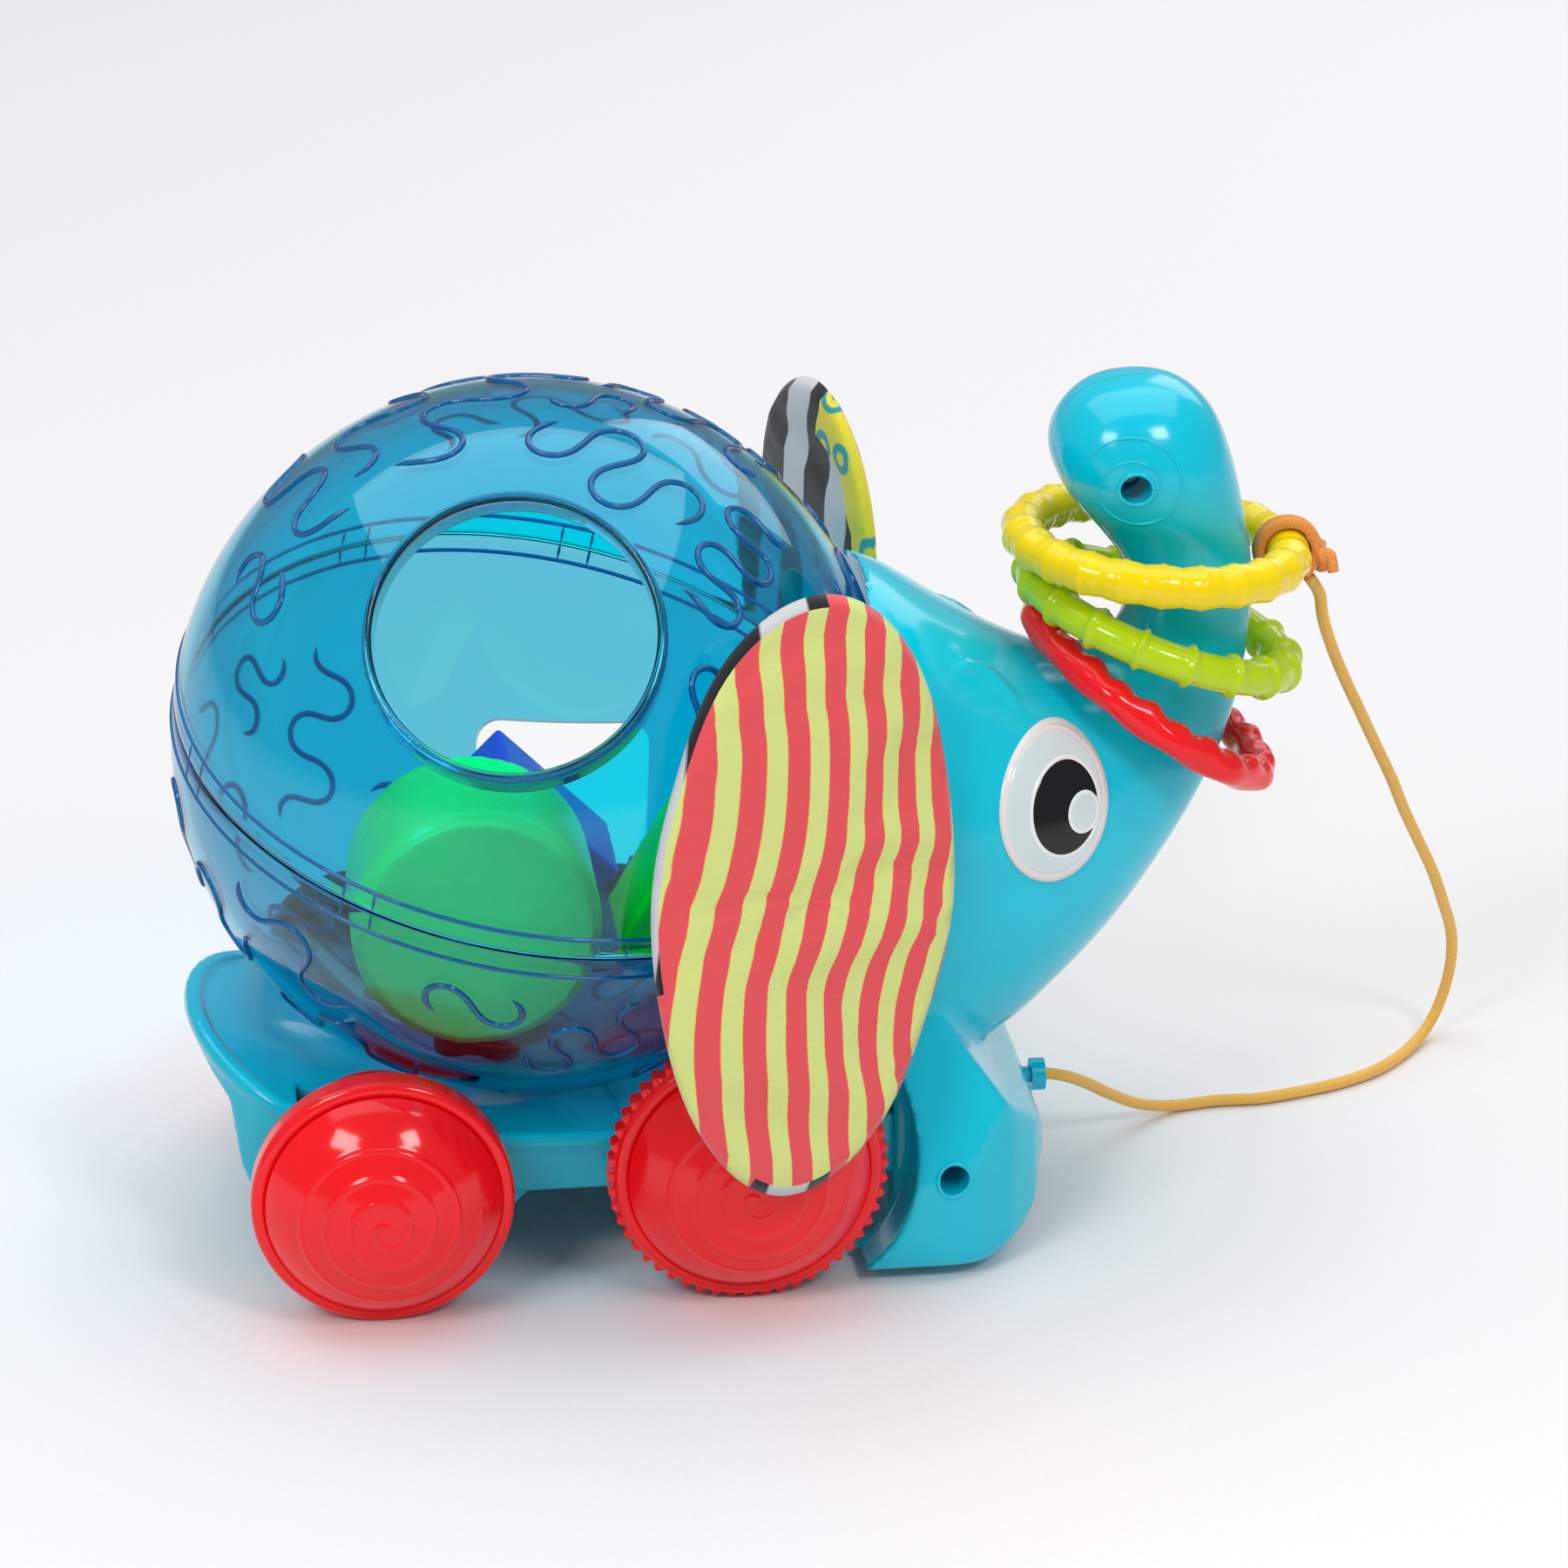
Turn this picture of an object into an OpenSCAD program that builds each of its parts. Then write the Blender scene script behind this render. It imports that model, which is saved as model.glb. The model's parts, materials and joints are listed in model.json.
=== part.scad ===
// Elephant pull-along toy: a translucent sorting ball rides in a wheeled cradle behind an elephant's head.
// The rear wheels' axle carries two rollers that turn the ball, and three rings stack on the trunk.
// Frame: +X ahead (the trunk), +Y the toy's left, +Z up, origin on the floor under the middle.

/* [Ball] */
// Outside diameter of the ball
ball_d = 170; // [140:1:210]
// Wall of the ball's two shells
shell_t = 2.4; // [1.8:0.1:3.6]
// Width of the plain belt where the shells meet
belt_w = 10.8; // [8:0.2:14]
// Diameter of the round sorting hole
round_hole_d = 63.6; // [50:0.2:76]
// Side of the square sorting hole
square_hole = 44; // [36:1:52]
// Side of the triangular sorting hole
triangle_hole = 48; // [38:1:56]
// Lean of the seam plane's upward normal, ahead and to the left
seam_lean = [0.16, -0.26]; // [-0.4:0.01:0.4]
// Gap between the ball and the head's hollow back
ball_gap = 3; // [2.2:0.1:5]

/* [Sorting blocks] */
// Diameter of the round block
round_block_d = 58; // [46:1:60]
// Side of the square block
square_block = 38; // [30:1:40]
// Side of the triangular block
triangle_block = 40; // [32:1:42]
// Diameter of the lobed block
lobe_block_d = 30; // [24:1:32]

/* [Running gear] */
// Diameter of each smooth rear wheel
rear_wheel_d = 61; // [51:1:66]
// Diameter of each toothed front wheel, over its teeth
front_wheel_d = 66; // [55:1:70]
// Number of teeth round a front wheel
tooth_count = 52; // [36:2:72]
// Depth of a tooth
tooth_h = 1.6; // [0.8:0.1:2.4]
// Distance between the inner faces of a pair of wheels
wheel_gap = 104; // [103:1:110]
// Width of a wheel's rim
rim_w = 11; // [9:0.5:14]
// Height of the dome that stands out of each wheel
dome_h = 16; // [12:0.5:19]
// Wall of the wheels
wheel_t = 2.2; // [1.6:0.1:3]
// Diameter of the steel axles
axle_d = 5; // [4:0.1:6]
// Radial clearance of the axles in the cradle
axle_clear = 0.08; // [0.03:0.01:0.1]
// Rear axle, behind the ball's centre
rear_axle_back = 40.5; // [36:0.5:46]
// Front axle, ahead of the ball's centre
front_axle_ahead = 44.5; // [40:0.5:48]
// Distance between the two drive rollers' mid planes
roller_gap = 64; // [54:1:70]
// Width of a drive roller
roller_w = 8; // [6:0.5:10]
// Clearance that keeps each roller's solid off the ball
roller_clear = 0.3; // [0.2:0.05:0.5]

/* [Cradle] */
// Width of the cradle
cradle_w = 90; // [80:1:94]
// Wall of the cradle and its tray
cradle_t = 2.4; // [1.8:0.1:3]
// Height of the cradle's bottom edge over the floor
cradle_floor = 22.5; // [20:0.5:25]
// Gap under the ball, down to the deck
deck_gap = 3; // [2.5:0.1:5]
// Height of the tail scoop's tip over the floor
scoop_z = 59; // [52:1:66]

/* [Head] */
// Wall of the head's two shells
head_t = 2.4; // [1.8:0.1:3]
// Outside width over the front legs
leg_w = 122; // [110:1:130]
// Radial room between a front wheel and its arch
arch_room = 7.5; // [5:0.5:9]
// Radius of the screw recesses
recess_r = 3.6; // [3:0.1:4.5]
// Thickness of the eye plates
eye_t = 0.9; // [0.6:0.1:1.5]

/* [Ears] */
// Width of an ear
ear_w = 82; // [66:1:98]
// Height of an ear
ear_h = 141; // [118:1:150]
// Thickness of the padded ear
ear_t = 4.6; // [3.5:0.1:5.5]
// Gap between an ear's middle and the ball
ear_gap = 3.9; // [3.5:0.1:6]
// How far the left ear stands out, turned about its sewn front edge
left_ear_out = 48; // [0:1:50]

/* [Rings] */
// Outside diameter of the rings
ring_d = 74; // [70:0.5:78]
// Thickness of the yellow and the green ring
ring_t = 10.6; // [8:0.2:11]
// Thickness of the red ring
flat_ring_t = 9; // [7:0.2:9.6]

/* [Cord] */
// Diameter of the pull cord
cord_d = 3; // [2.4:0.1:3.6]

/* [Hidden] */
$fn = 64;

// Colours
cyan = "deepskyblue";
teal = "darkturquoise";
red = "crimson";
clear_blue = [0.1, 0.55, 0.8, 0.45];

// Ball
ball_r = ball_d / 2;
ball_z = cradle_floor + 10 + deck_gap + ball_r;
seam_n = [seam_lean[0], seam_lean[1], sqrt(1 - seam_lean[0] * seam_lean[0] - seam_lean[1] * seam_lean[1])];
seam_gap = 0.3;
round_dir = [-0.096, -0.785, 0.612];
square_dir = [0.15, 0.81, -0.57];
triangle_dir = [0.8, 0.1, -0.59];
collar_t = 2;
collar_out = 1.4;

// The rings' stack is the furthest point ahead, and the ball the furthest behind
ring_r = ring_d / 2;
stack_x = ball_r + 64;
ball_x = -(stack_x + ring_r - ball_r) / 2;
ball_c = [ball_x, 0, ball_z];

// Running gear
rear_r = rear_wheel_d / 2;
front_r = front_wheel_d / 2;
axle_r = axle_d / 2;
rear_axle_x = ball_x - rear_axle_back;
front_axle_x = ball_x + front_axle_ahead;
axle_to_ball = norm([rear_axle_back, ball_z - rear_r]);
wheel_y = wheel_gap / 2;
roller_in = (roller_gap - roller_w) / 2;
roller_out = (roller_gap + roller_w) / 2;
function roller_r(y) = axle_to_ball - sqrt(ball_r * ball_r - y * y) - roller_clear;
sump_z = rear_r - roller_r(roller_out) - 1.5 - cradle_t;

// Cradle
half_w = cradle_w / 2;
dish_more = 20;
dish_r = ball_r + dish_more;
dish_c = ball_c + [-10, 0, dish_more - deck_gap + 0.3];
tip_x = ball_x - ball_r + 1.5;
front_end = ball_x + ball_r - 4;

// Head: each station is [top ahead, top up, bottom ahead, bottom up, half width], from the ball's centre
// height and its foremost point
head_o = [ball_x + ball_r, ball_z];
STATIONS = [[-12, 41, -8, -84, 52], [0, 36.5, 10, -84, 50.5], [15, 27, 25, -77, 46.5], [28, 19.5, 38, -66, 41.5],
    [39, 15, 52, -52, 35], [48, 15, 64, -37, 28], [54, 18, 74, -22, 21.5], [57, 24, 81, -8, 17.2],
    [58, 31, 85.5, 8, 15], [56, 39, 87.5, 25, 14.5], [50, 47, 87, 39, 16], [42.5, 56, 84.5, 52, 19.5],
    [38.5, 66, 81.5, 64, 21.7], [40.5, 74.5, 77, 75, 18.6], [47, 81, 70, 81.5, 12.5], [56, 83.4, 62, 83.6, 4.5]];
ARCS = 14;
STEPS = 2;
bulb_c = [head_o[0] + 60, 0, ball_z + 62];

// Chest and front legs, ahead and up
chest_x = head_o[0] + 36;
leg_floor = 3;
arch_r = front_r + arch_room;
leg_screw = [head_o[0] + 9, 26.5];
trunk_screw = [bulb_c[0] - 4.5, bulb_c[2]];

// Ears hang in a plane that clears the ball: its outward normal and the middle of the pad
ear_yaw = 26;
ear_lean = 8;
ear_tilt = 9;
ear_n = [sin(ear_yaw) * cos(ear_lean), -cos(ear_yaw) * cos(ear_lean), sin(ear_lean)];
ear_foot = ball_c + (ball_r + ear_gap) * ear_n;
ear_along = [cos(ear_yaw), sin(ear_yaw), 0];
ear_up = cross(ear_along, -ear_n);
ear_c = ear_foot + 18 * ear_along - 26 * ear_up;
ear_front = ear_c + (ear_w / 2 - 1) * ear_along + 20 * ear_up;

// Rings, ahead and up of the ball's centre: [place, tilt]
yellow_at = [ball_x + stack_x, ball_z + 41.5];
green_at = [ball_x + stack_x + 1, ball_z + 22.5];
red_at = [ball_x + stack_x - 1, ball_z + 4.3];
yellow_tilt = 5;
green_tilt = 20;
red_tilt = 35;

// Cord: the route of its centre line, from the chest to the yellow ring
cord_r = cord_d / 2;
cord_z = 25;
CORD = [[63.5, 0, cord_z], [69, 0, cord_z], [74.5, 0, cord_z], [80, 2, 23], [86, 7, 18.5], [94, 14, 11.5],
    [103, 21, 5], [113, 26, 1.8], [124, 28, 1.6],
    [135, 28, 1.6], [147, 31, 1.6], [158, 35, 1.6], [168, 41, 1.6], [177, 50, 1.6], [185, 60, 3],
    [190, 64, 10], [191.5, 62, 21], [190, 57.5, 32], [186, 52, 43], [181.5, 47, 54], [176, 42, 65],
    [170.5, 36, 76], [165.5, 31, 87], [160, 27, 98], [154.5, 22, 109], [149, 17, 120], [144.5, 12, 130],
    [141, 6.5, 139], [139, 2.5, 146.5], [135.7, 0, 151.9]];

// Helper functions and shapes
function signed_power(v, e) = sign(v) * pow(abs(v), e);
function spline(a, b, c, d, t) = 0.5 * (2 * b + (c - a) * t + (2 * a - 5 * b + 4 * c - d) * t * t
    + (3 * b - a - 3 * c + d) * t * t * t);
function station(i) = STATIONS[max(0, min(len(STATIONS) - 1, i))];
function smooth_stations() = [for (i = [0 : len(STATIONS) - 2], j = [0 : STEPS - 1])
    spline(station(i - 1), station(i), station(i + 1), station(i + 2), j / STEPS), station(len(STATIONS) - 1)];
// Half of a station's outline, from the bottom round the -Y side to the top, drawn in by inset
// and closed at Y = over
function half_ring(s, inset, over) = let (top = [s[0], s[1]], bottom = [s[2], s[3]], mid = (top + bottom) / 2,
    up = (top - bottom) / norm(top - bottom), high = norm(top - bottom) / 2 - inset, wide = s[4] - inset)
    [for (k = [0 : ARCS]) let (a = 180 - 180 * k / ARCS, u = high * signed_power(cos(a), 0.88),
        y = k == 0 || k == ARCS ? over : -wide * pow(sin(a), 0.88))
        [head_o[0] + mid[0] + up[0] * u, y, head_o[1] + mid[1] + up[1] * u]];
// A closed loft through rings of equal length
module loft(rings) {
    n = len(rings[0]);
    m = len(rings);
    polyhedron(
        points = [for (r = rings, p = r) p],
        faces = concat(
            [for (i = [0 : m - 2], k = [0 : n - 1]) [i * n + k, i * n + (k + 1) % n, (i + 1) * n + k]],
            [for (i = [0 : m - 2], k = [0 : n - 1])
                [i * n + (k + 1) % n, (i + 1) * n + (k + 1) % n, (i + 1) * n + k]],
            [[for (k = [n - 1 : -1 : 0]) k], [for (k = [0 : n - 1]) (m - 1) * n + k]]));
}
// Turns +Z to point along v
module aim(v) {
    rotate([0, acos(v[2] / norm(v)), atan2(v[1], v[0])]) children();
}
// A side profile of [x, z] points, as a slab between two Y values
module slab(points, y0, y1) {
    translate([0, y1, 0]) rotate([90, 0, 0]) linear_extrude(y1 - y0) polygon(points);
}
module along_y(y0, y1, r, x, z) {
    translate([x, y1, z]) rotate([90, 0, 0]) cylinder(r = r, h = y1 - y0);
}
module at_ball() {
    translate(ball_c) children();
}
module screw(length) {
    cylinder(r = 1.4, h = length);
    translate([0, 0, length]) cylinder(r = 2.8, h = 2);
}

// Cradle
cradle_profile = [[tip_x, scoop_z - 4], [tip_x + 9, 45], [tip_x + 11, 30], [tip_x + 14, cradle_floor],
    [front_end, cradle_floor], [front_end, 38], [front_axle_x, 35.5], [ball_x, 35.5],
    [rear_axle_x + 14, 36], [rear_axle_x - 8, 40.5], [tip_x + 21, 47], [tip_x + 8, 54.5], [tip_x, scoop_z]];
function cradle_plan(inset) = let (tail = 27) concat(
    [for (a = [90 : 9 : 270]) [tip_x + tail + (tail - inset) * cos(a), (half_w - inset) * sin(a)]],
    [[front_end - inset, -half_w + inset], [front_end - inset, half_w - inset]]);
cavity_profile = [[tip_x + 15, cradle_floor - 1], [tip_x + 13.5, 31], [tip_x + 13.5, 44], [rear_axle_x - 8, 38],
    [rear_axle_x + 14, 33.5], [front_end - cradle_t, 33.5], [front_end - cradle_t, cradle_floor - 1]];
module cradle_cavity() {
    difference() {
        intersection() {
            slab(cavity_profile, -half_w, half_w);
            linear_extrude(scoop_z) polygon(cradle_plan(cradle_t));
        }
        translate(dish_c) sphere(r = dish_r + cradle_t, $fn = 96);
    }
}
bearing_ys = [-half_w + 2.5, -21, 21, half_w - 2.5];
screw_xs = [rear_axle_x + 26, front_axle_x + 22];
screw_y = 15;
module cradle_outside() {
    intersection() {
        slab(cradle_profile, -half_w, half_w);
        linear_extrude(scoop_z + 1) polygon(cradle_plan(0));
    }
}
module cradle() {
    color(teal) difference() {
        union() {
            difference() {
                cradle_outside();
                cradle_cavity();
            }
            intersection() {
                cradle_outside();
                union() {
                    for (y = bearing_ys, x = [rear_axle_x, front_axle_x])
                        translate([x - 7, y - 2.5, cradle_floor + 2.6]) cube([14, 5, 14]);
                    for (x = screw_xs, y = [-screw_y, screw_y])
                        translate([x, y, cradle_floor + 2.6]) cylinder(r = 3.4, h = 9);
                }
            }
        }
        translate(dish_c) sphere(r = dish_r, $fn = 96);
        along_y(-half_w - 1, half_w + 1, axle_r + axle_clear, rear_axle_x, rear_r);
        along_y(-half_w - 1, half_w + 1, axle_r + axle_clear, front_axle_x, front_r);
        for (s = [-1, 1])
            along_y(s * roller_gap / 2 - roller_w / 2 - 1.5, s * roller_gap / 2 + roller_w / 2 + 1.5,
                roller_r(roller_out) + 1.6, rear_axle_x, rear_r);
        for (x = screw_xs, y = [-screw_y, screw_y])
            translate([x, y, cradle_floor]) cylinder(r = 1.4, h = 9);
    }
}

// Tray under the cradle, with a sump for the drive rollers
sump_x0 = rear_axle_x - roller_r(roller_out) - 4;
sump_x1 = rear_axle_x + roller_r(roller_out) + 14;
tray_half = half_w - cradle_t - 0.3;
module belly_tray() {
    sump = [[sump_x0, cradle_floor + 2.4], [sump_x0, cradle_floor - 4], [sump_x0 + 8, sump_z], [sump_x1 - 18, sump_z],
        [sump_x1, cradle_floor - 1], [sump_x1, cradle_floor + 2.4]];
    room = [[sump_x0 + cradle_t, cradle_floor + 3], [sump_x0 + cradle_t, cradle_floor - 3],
        [sump_x0 + 9, sump_z + cradle_t], [sump_x1 - 19, sump_z + cradle_t],
        [sump_x1 - cradle_t, cradle_floor], [sump_x1 - cradle_t, cradle_floor + 3]];
    color(teal) difference() {
        intersection() {
            union() {
                translate([tip_x + 18, -tray_half, cradle_floor]) cube([front_end - tip_x - 22, 2 * tray_half, 2.4]);
                slab(sump, -tray_half, tray_half);
            }
            linear_extrude(cradle_floor + 5) polygon(cradle_plan(half_w - tray_half));
        }
        slab(room, -tray_half + cradle_t, tray_half - cradle_t);
        for (x = screw_xs, y = [-screw_y, screw_y]) {
            translate([x, y, cradle_floor - 4]) cylinder(r = 1.5, h = 9);
            translate([x, y, cradle_floor - 4]) cylinder(r = 3, h = 4.6);
        }
    }
}
module belly_screws() {
    color("silver") for (x = screw_xs, y = [-screw_y, screw_y])
        translate([x, y, cradle_floor + 8.6]) rotate([180, 0, 0]) screw(8);
}

// Head, chest and front legs: one moulded half on each side
leg_half = leg_w / 2;
screw_floor = 5;
function chest_side(t) = [[head_o[0] - 46, 24 + t], [head_o[0] - 16, leg_floor + t], [chest_x - 18, leg_floor + t],
    [chest_x - 8, leg_floor + 4 + t], [chest_x - 2 - t, 14], [chest_x - t, 22], [chest_x - 2.5 - t, 31],
    [head_o[0] + 23 - t, 42], [head_o[0] + 8, 62 - t], [head_o[0] - 46, 62 - t]];
function chest_front(t) = [[-leg_half + 3 + t, 2], [-leg_half + t, 10], [-leg_half + 1 + t, 26], [-leg_half + 7 + t, 42],
    [-leg_half + 16 + t, 64], [0, 64], [0, 17 + t], [-36 - t, 17 + t], [-36 - t, 2]];
function chest_plan(t) = [[head_o[0] - 47, 0], [head_o[0] - 47, -leg_half + t], [chest_x - 34, -leg_half + t],
    [chest_x - 21 - t, -leg_half + 3 + t], [chest_x - 12 - t, -leg_half + 9 + t], [chest_x - 5 - t, -leg_half + 18 + t],
    [chest_x - 1 - t, -30], [chest_x - t, -16], [chest_x - t, 0]];
module chest_block(t) {
    intersection() {
        slab(chest_side(t), -leg_half - 1, t);
        rotate([90, 0, 90]) translate([0, 0, head_o[0] - 50]) linear_extrude(100) polygon(chest_front(t));
        linear_extrude(70) polygon(chest_plan(t));
    }
}
module half_head() {
    difference() {
        union() {
            loft([for (s = smooth_stations()) half_ring(s, 0, 0)]);
            chest_block(0);
        }
        difference() {
            union() {
                loft([for (i = [0 : len(STATIONS) * STEPS - 5]) half_ring(smooth_stations()[i], head_t, 1)]);
                chest_block(head_t);
            }
            along_y(-leg_half - 2, -half_w + 2, arch_r + head_t, front_axle_x, front_r);
            translate(ball_c) sphere(r = ball_r + ball_gap + head_t, $fn = 96);
            for (p = [trunk_screw, leg_screw])
                along_y(-leg_half, 2, recess_r + 1.8, p[0], p[1]);
        }
        translate(ball_c) sphere(r = ball_r + ball_gap, $fn = 96);
        along_y(-leg_half - 2, -half_w - 0.4, arch_r, front_axle_x, front_r);
        translate([head_o[0] - 60, -half_w - 0.4, -1]) cube([60 - 3.6, half_w + 2, 46]);
    }
}
module head_shell_right() {
    color(cyan) difference() {
        half_head();
        for (p = [trunk_screw, leg_screw]) {
            along_y(-leg_half - 1, -screw_floor, recess_r, p[0], p[1]);
            along_y(-screw_floor - 1, 1, 1.5, p[0], p[1]);
        }
        translate([chest_x - 8, 0, cord_z]) rotate([0, 90, 0]) cylinder(r = cord_r + 0.6, h = 12);
    }
}
module head_shell_left() {
    color(cyan) difference() {
        mirror([0, 1, 0]) half_head();
        for (p = [trunk_screw, leg_screw])
            along_y(-1, 7, 1.4, p[0], p[1]);
        translate([chest_x - 8, 0, cord_z]) rotate([0, 90, 0]) cylinder(r = cord_r + 0.6, h = 12);
    }
}
module head_screws() {
    color("silver") for (p = [trunk_screw, leg_screw])
        translate([p[0], 6.5, p[1]]) rotate([90, 0, 0]) screw(6.5 + screw_floor);
}

// Eyes: oval plates that follow the head's side
module eye_right() {
    band = [for (i = [2 : 12]) smooth_stations()[i]];
    color("whitesmoke") difference() {
        intersection() {
            loft([for (s = band) half_ring(s, -eye_t, 0)]);
            slab([for (a = [0 : 12 : 348])
                [head_o[0] + 34.5 + 13.5 * cos(a) + 1.5 * sin(a), ball_z - 9 + 18 * sin(a)]], -70, -20);
        }
        loft([for (s = band) half_ring(s, 0, 1)]);
    }
}
module eye_left() {
    mirror([0, 1, 0]) eye_right();
}

// Ears: padded ovals that hang outside the ball, each on a tab that the head's shells clamp
module on_ear(p) {
    translate(p) rotate([0, 0, ear_yaw]) rotate([-ear_lean, 0, 0]) children();
}
module ear_right() {
    color("lightcoral") on_ear(ear_c) rotate([90, ear_tilt, 0]) translate([0, 0, -ear_t / 2]) linear_extrude(ear_t)
        polygon([for (a = [0 : 10 : 350]) [ear_w / 2 * cos(a), ear_h / 2 * sin(a)]]);
}
module ear_left() {
    hinge = [ear_front[0], -ear_front[1], ear_front[2]];
    translate(hinge) rotate(a = left_ear_out, v = [-ear_up[0], ear_up[1], -ear_up[2]]) translate(-hinge)
        mirror([0, 1, 0]) ear_right();
}
module ear_tab_right() {
    color("khaki") difference() {
        on_ear(ear_front) translate([-3, ear_t / 2 + 0.4, -9]) cube([2, 24, 18]);
        loft([for (s = smooth_stations()) half_ring(s, 0, 1)]);
    }
}
module ear_tab_left() {
    mirror([0, 1, 0]) ear_tab_right();
}

// Axles, rollers and wheels
axle_half = wheel_y + rim_w + 4;
module rear_axle() {
    color("silver") along_y(-axle_half, axle_half, axle_r, rear_axle_x, rear_r);
}
module front_axle() {
    color("silver") along_y(-axle_half, axle_half, axle_r, front_axle_x, front_r);
}
// Round pieces on the right-hand end of an axle, turned about it: profile is [radius, distance from the middle]
module on_axle(x, z, side) {
    translate([x, 0, z]) rotate([side * -90, 0, 0]) rotate_extrude() children();
}
module drive_roller(side) {
    color(red) on_axle(rear_axle_x, rear_r, side)
        polygon([[axle_r, roller_in - 1], [7, roller_in - 1], [7, roller_in], [roller_r(roller_in), roller_in],
            [roller_r(roller_out), roller_out], [axle_r, roller_out]]);
}
module drive_roller_right() {
    drive_roller(-1);
}
module drive_roller_left() {
    drive_roller(1);
}
hub_r = 6;
// The rims step in beside the ball
lip_in = 2;
lip_w = 4;
module wheel_back(x, r, side) {
    color(red) on_axle(x, r, side) difference() {
        union() {
            translate([axle_r, wheel_y - 3]) square([hub_r - axle_r, rim_w + 5]);
            translate([axle_r, wheel_y]) square([r - tooth_h - wheel_t - lip_in - 0.8 - axle_r, wheel_t]);
        }
    }
}
// The dome is a cap of a sphere of radius cap_r(r) that starts inside the rim
function cap_r(r) = (r * r + dome_h * dome_h) / (2 * dome_h);
module dome_profile(r) {
    inner = r - wheel_t - lip_in;
    rise = wheel_y + rim_w - 1;
    difference() {
        union() {
            translate([0, wheel_y]) square([r - lip_in, rim_w - 2]);
            translate([0, wheel_y + lip_w]) square([r, rim_w - 2 - lip_w]);
            translate([r - 2, rise - 1]) circle(r = 2);
            intersection() {
                translate([0, rise + dome_h - cap_r(r - 2)]) circle(r = cap_r(r - 2), $fn = 96);
                translate([0, rise - 1]) square([r - 2, dome_h + 2]);
            }
        }
        translate([-1, wheel_y - 1]) square([inner + 1, rim_w]);
        intersection() {
            translate([0, rise + dome_h - cap_r(r - 2)]) circle(r = cap_r(r - 2) - wheel_t, $fn = 96);
            translate([-1, rise - 1]) square([inner + 1, dome_h + 2]);
        }
        translate([-100, 0]) square([100, 200]);
    }
}
module rear_wheel_dome(side) {
    color(red) on_axle(rear_axle_x, rear_r, side) dome_profile(rear_r);
}
module front_wheel_dome(side) {
    body = front_r - tooth_h;
    color(red) {
        on_axle(front_axle_x, front_r, side) dome_profile(body);
        translate([front_axle_x, 0, front_r]) rotate([side * -90, 0, 0]) translate([0, 0, wheel_y + lip_w])
            linear_extrude(rim_w - 2 - lip_w) difference() {
                polygon([for (i = [0 : 2 * tooth_count - 1]) let (a = 180 * i / tooth_count,
                    r = i % 2 == 0 ? front_r : body - 0.2) [r * sin(a), r * cos(a)]]);
                circle(r = body - 1);
            }
    }
}
module rear_wheel_back_right() {
    wheel_back(rear_axle_x, rear_r, -1);
}
module rear_wheel_back_left() {
    wheel_back(rear_axle_x, rear_r, 1);
}
module rear_wheel_dome_right() {
    rear_wheel_dome(-1);
}
module rear_wheel_dome_left() {
    rear_wheel_dome(1);
}
module front_wheel_back_right() {
    wheel_back(front_axle_x, front_r, -1);
}
module front_wheel_back_left() {
    wheel_back(front_axle_x, front_r, 1);
}
module front_wheel_dome_right() {
    front_wheel_dome(-1);
}
module front_wheel_dome_left() {
    front_wheel_dome(1);
}

// Ball
module half_ball(up) {
    aim(seam_n) intersection() {
        difference() {
            sphere(r = ball_r, $fn = 96);
            sphere(r = ball_r - shell_t, $fn = 96);
        }
        translate([-ball_r - 1, -ball_r - 1, up ? seam_gap / 2 : -ball_r - 2])
            cube([2 * ball_r + 2, 2 * ball_r + 2, ball_r + 2 - seam_gap / 2]);
    }
}
// The lower shell's lip, as wide as the belt, stands inside the upper shell
lip_r = ball_r - shell_t - 0.5;
hole_rise = sqrt(ball_r * ball_r - pow(round_hole_d / 2 + collar_t, 2));
collar_len = 9;
module ball_upper_shell() {
    color(clear_blue) at_ball() difference() {
        union() {
            half_ball(true);
            aim(round_dir) translate([0, 0, hole_rise + collar_out - collar_len])
                cylinder(r = round_hole_d / 2 + collar_t, h = collar_len);
        }
        aim(round_dir) translate([0, 0, hole_rise - 20]) cylinder(r = round_hole_d / 2, h = 40);
    }
}
module ball_lower_shell() {
    color(clear_blue) at_ball() difference() {
        union() {
            half_ball(false);
            aim(seam_n) rotate_extrude($fn = 96) polygon([[lip_r - 1.6, -belt_w / 2], [lip_r + 1.1, -belt_w / 2],
                [lip_r + 1.1, -seam_gap / 2], [lip_r, -seam_gap / 2], [lip_r, belt_w / 2], [lip_r - 1.6, belt_w / 2]]);
        }
        aim(square_dir) translate([-square_hole / 2, -square_hole / 2, ball_r - 30])
            cube([square_hole, square_hole, 40]);
        aim(triangle_dir) translate([0, 0, ball_r - 30]) linear_extrude(40) triangle(triangle_hole);
    }
}
module triangle(side) {
    polygon([for (a = [90, 210, 330]) side / sqrt(3) * [cos(a), sin(a)]]);
}

// Blocks, resting in the lower half of the ball
block_drop = ball_r - shell_t;
green_c = [-16, -24, 51.5 - block_drop];
blue_w = 32;
blue_y = 25;
blue_floor = 4 - sqrt(block_drop * block_drop - pow(blue_y + blue_w / 2, 2));
blue_c = [-5, blue_y, blue_floor + square_block / sqrt(2)];
yellow_c = [37, -18, 52 - block_drop];
red_c = [-13, -12, 9 - block_drop];
module green_block() {
    color("limegreen") at_ball() translate(green_c) rotate([90, 0, 0]) translate([0, 0, -20]) {
        translate([0, 0, 2]) cylinder(r = round_block_d / 2, h = 36);
        cylinder(r = round_block_d / 2 - 2, h = 40);
    }
}
module blue_block() {
    color("royalblue") at_ball() translate(blue_c) rotate([0, 45, 0])
        cube([square_block, blue_w, square_block], center = true);
}
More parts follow.
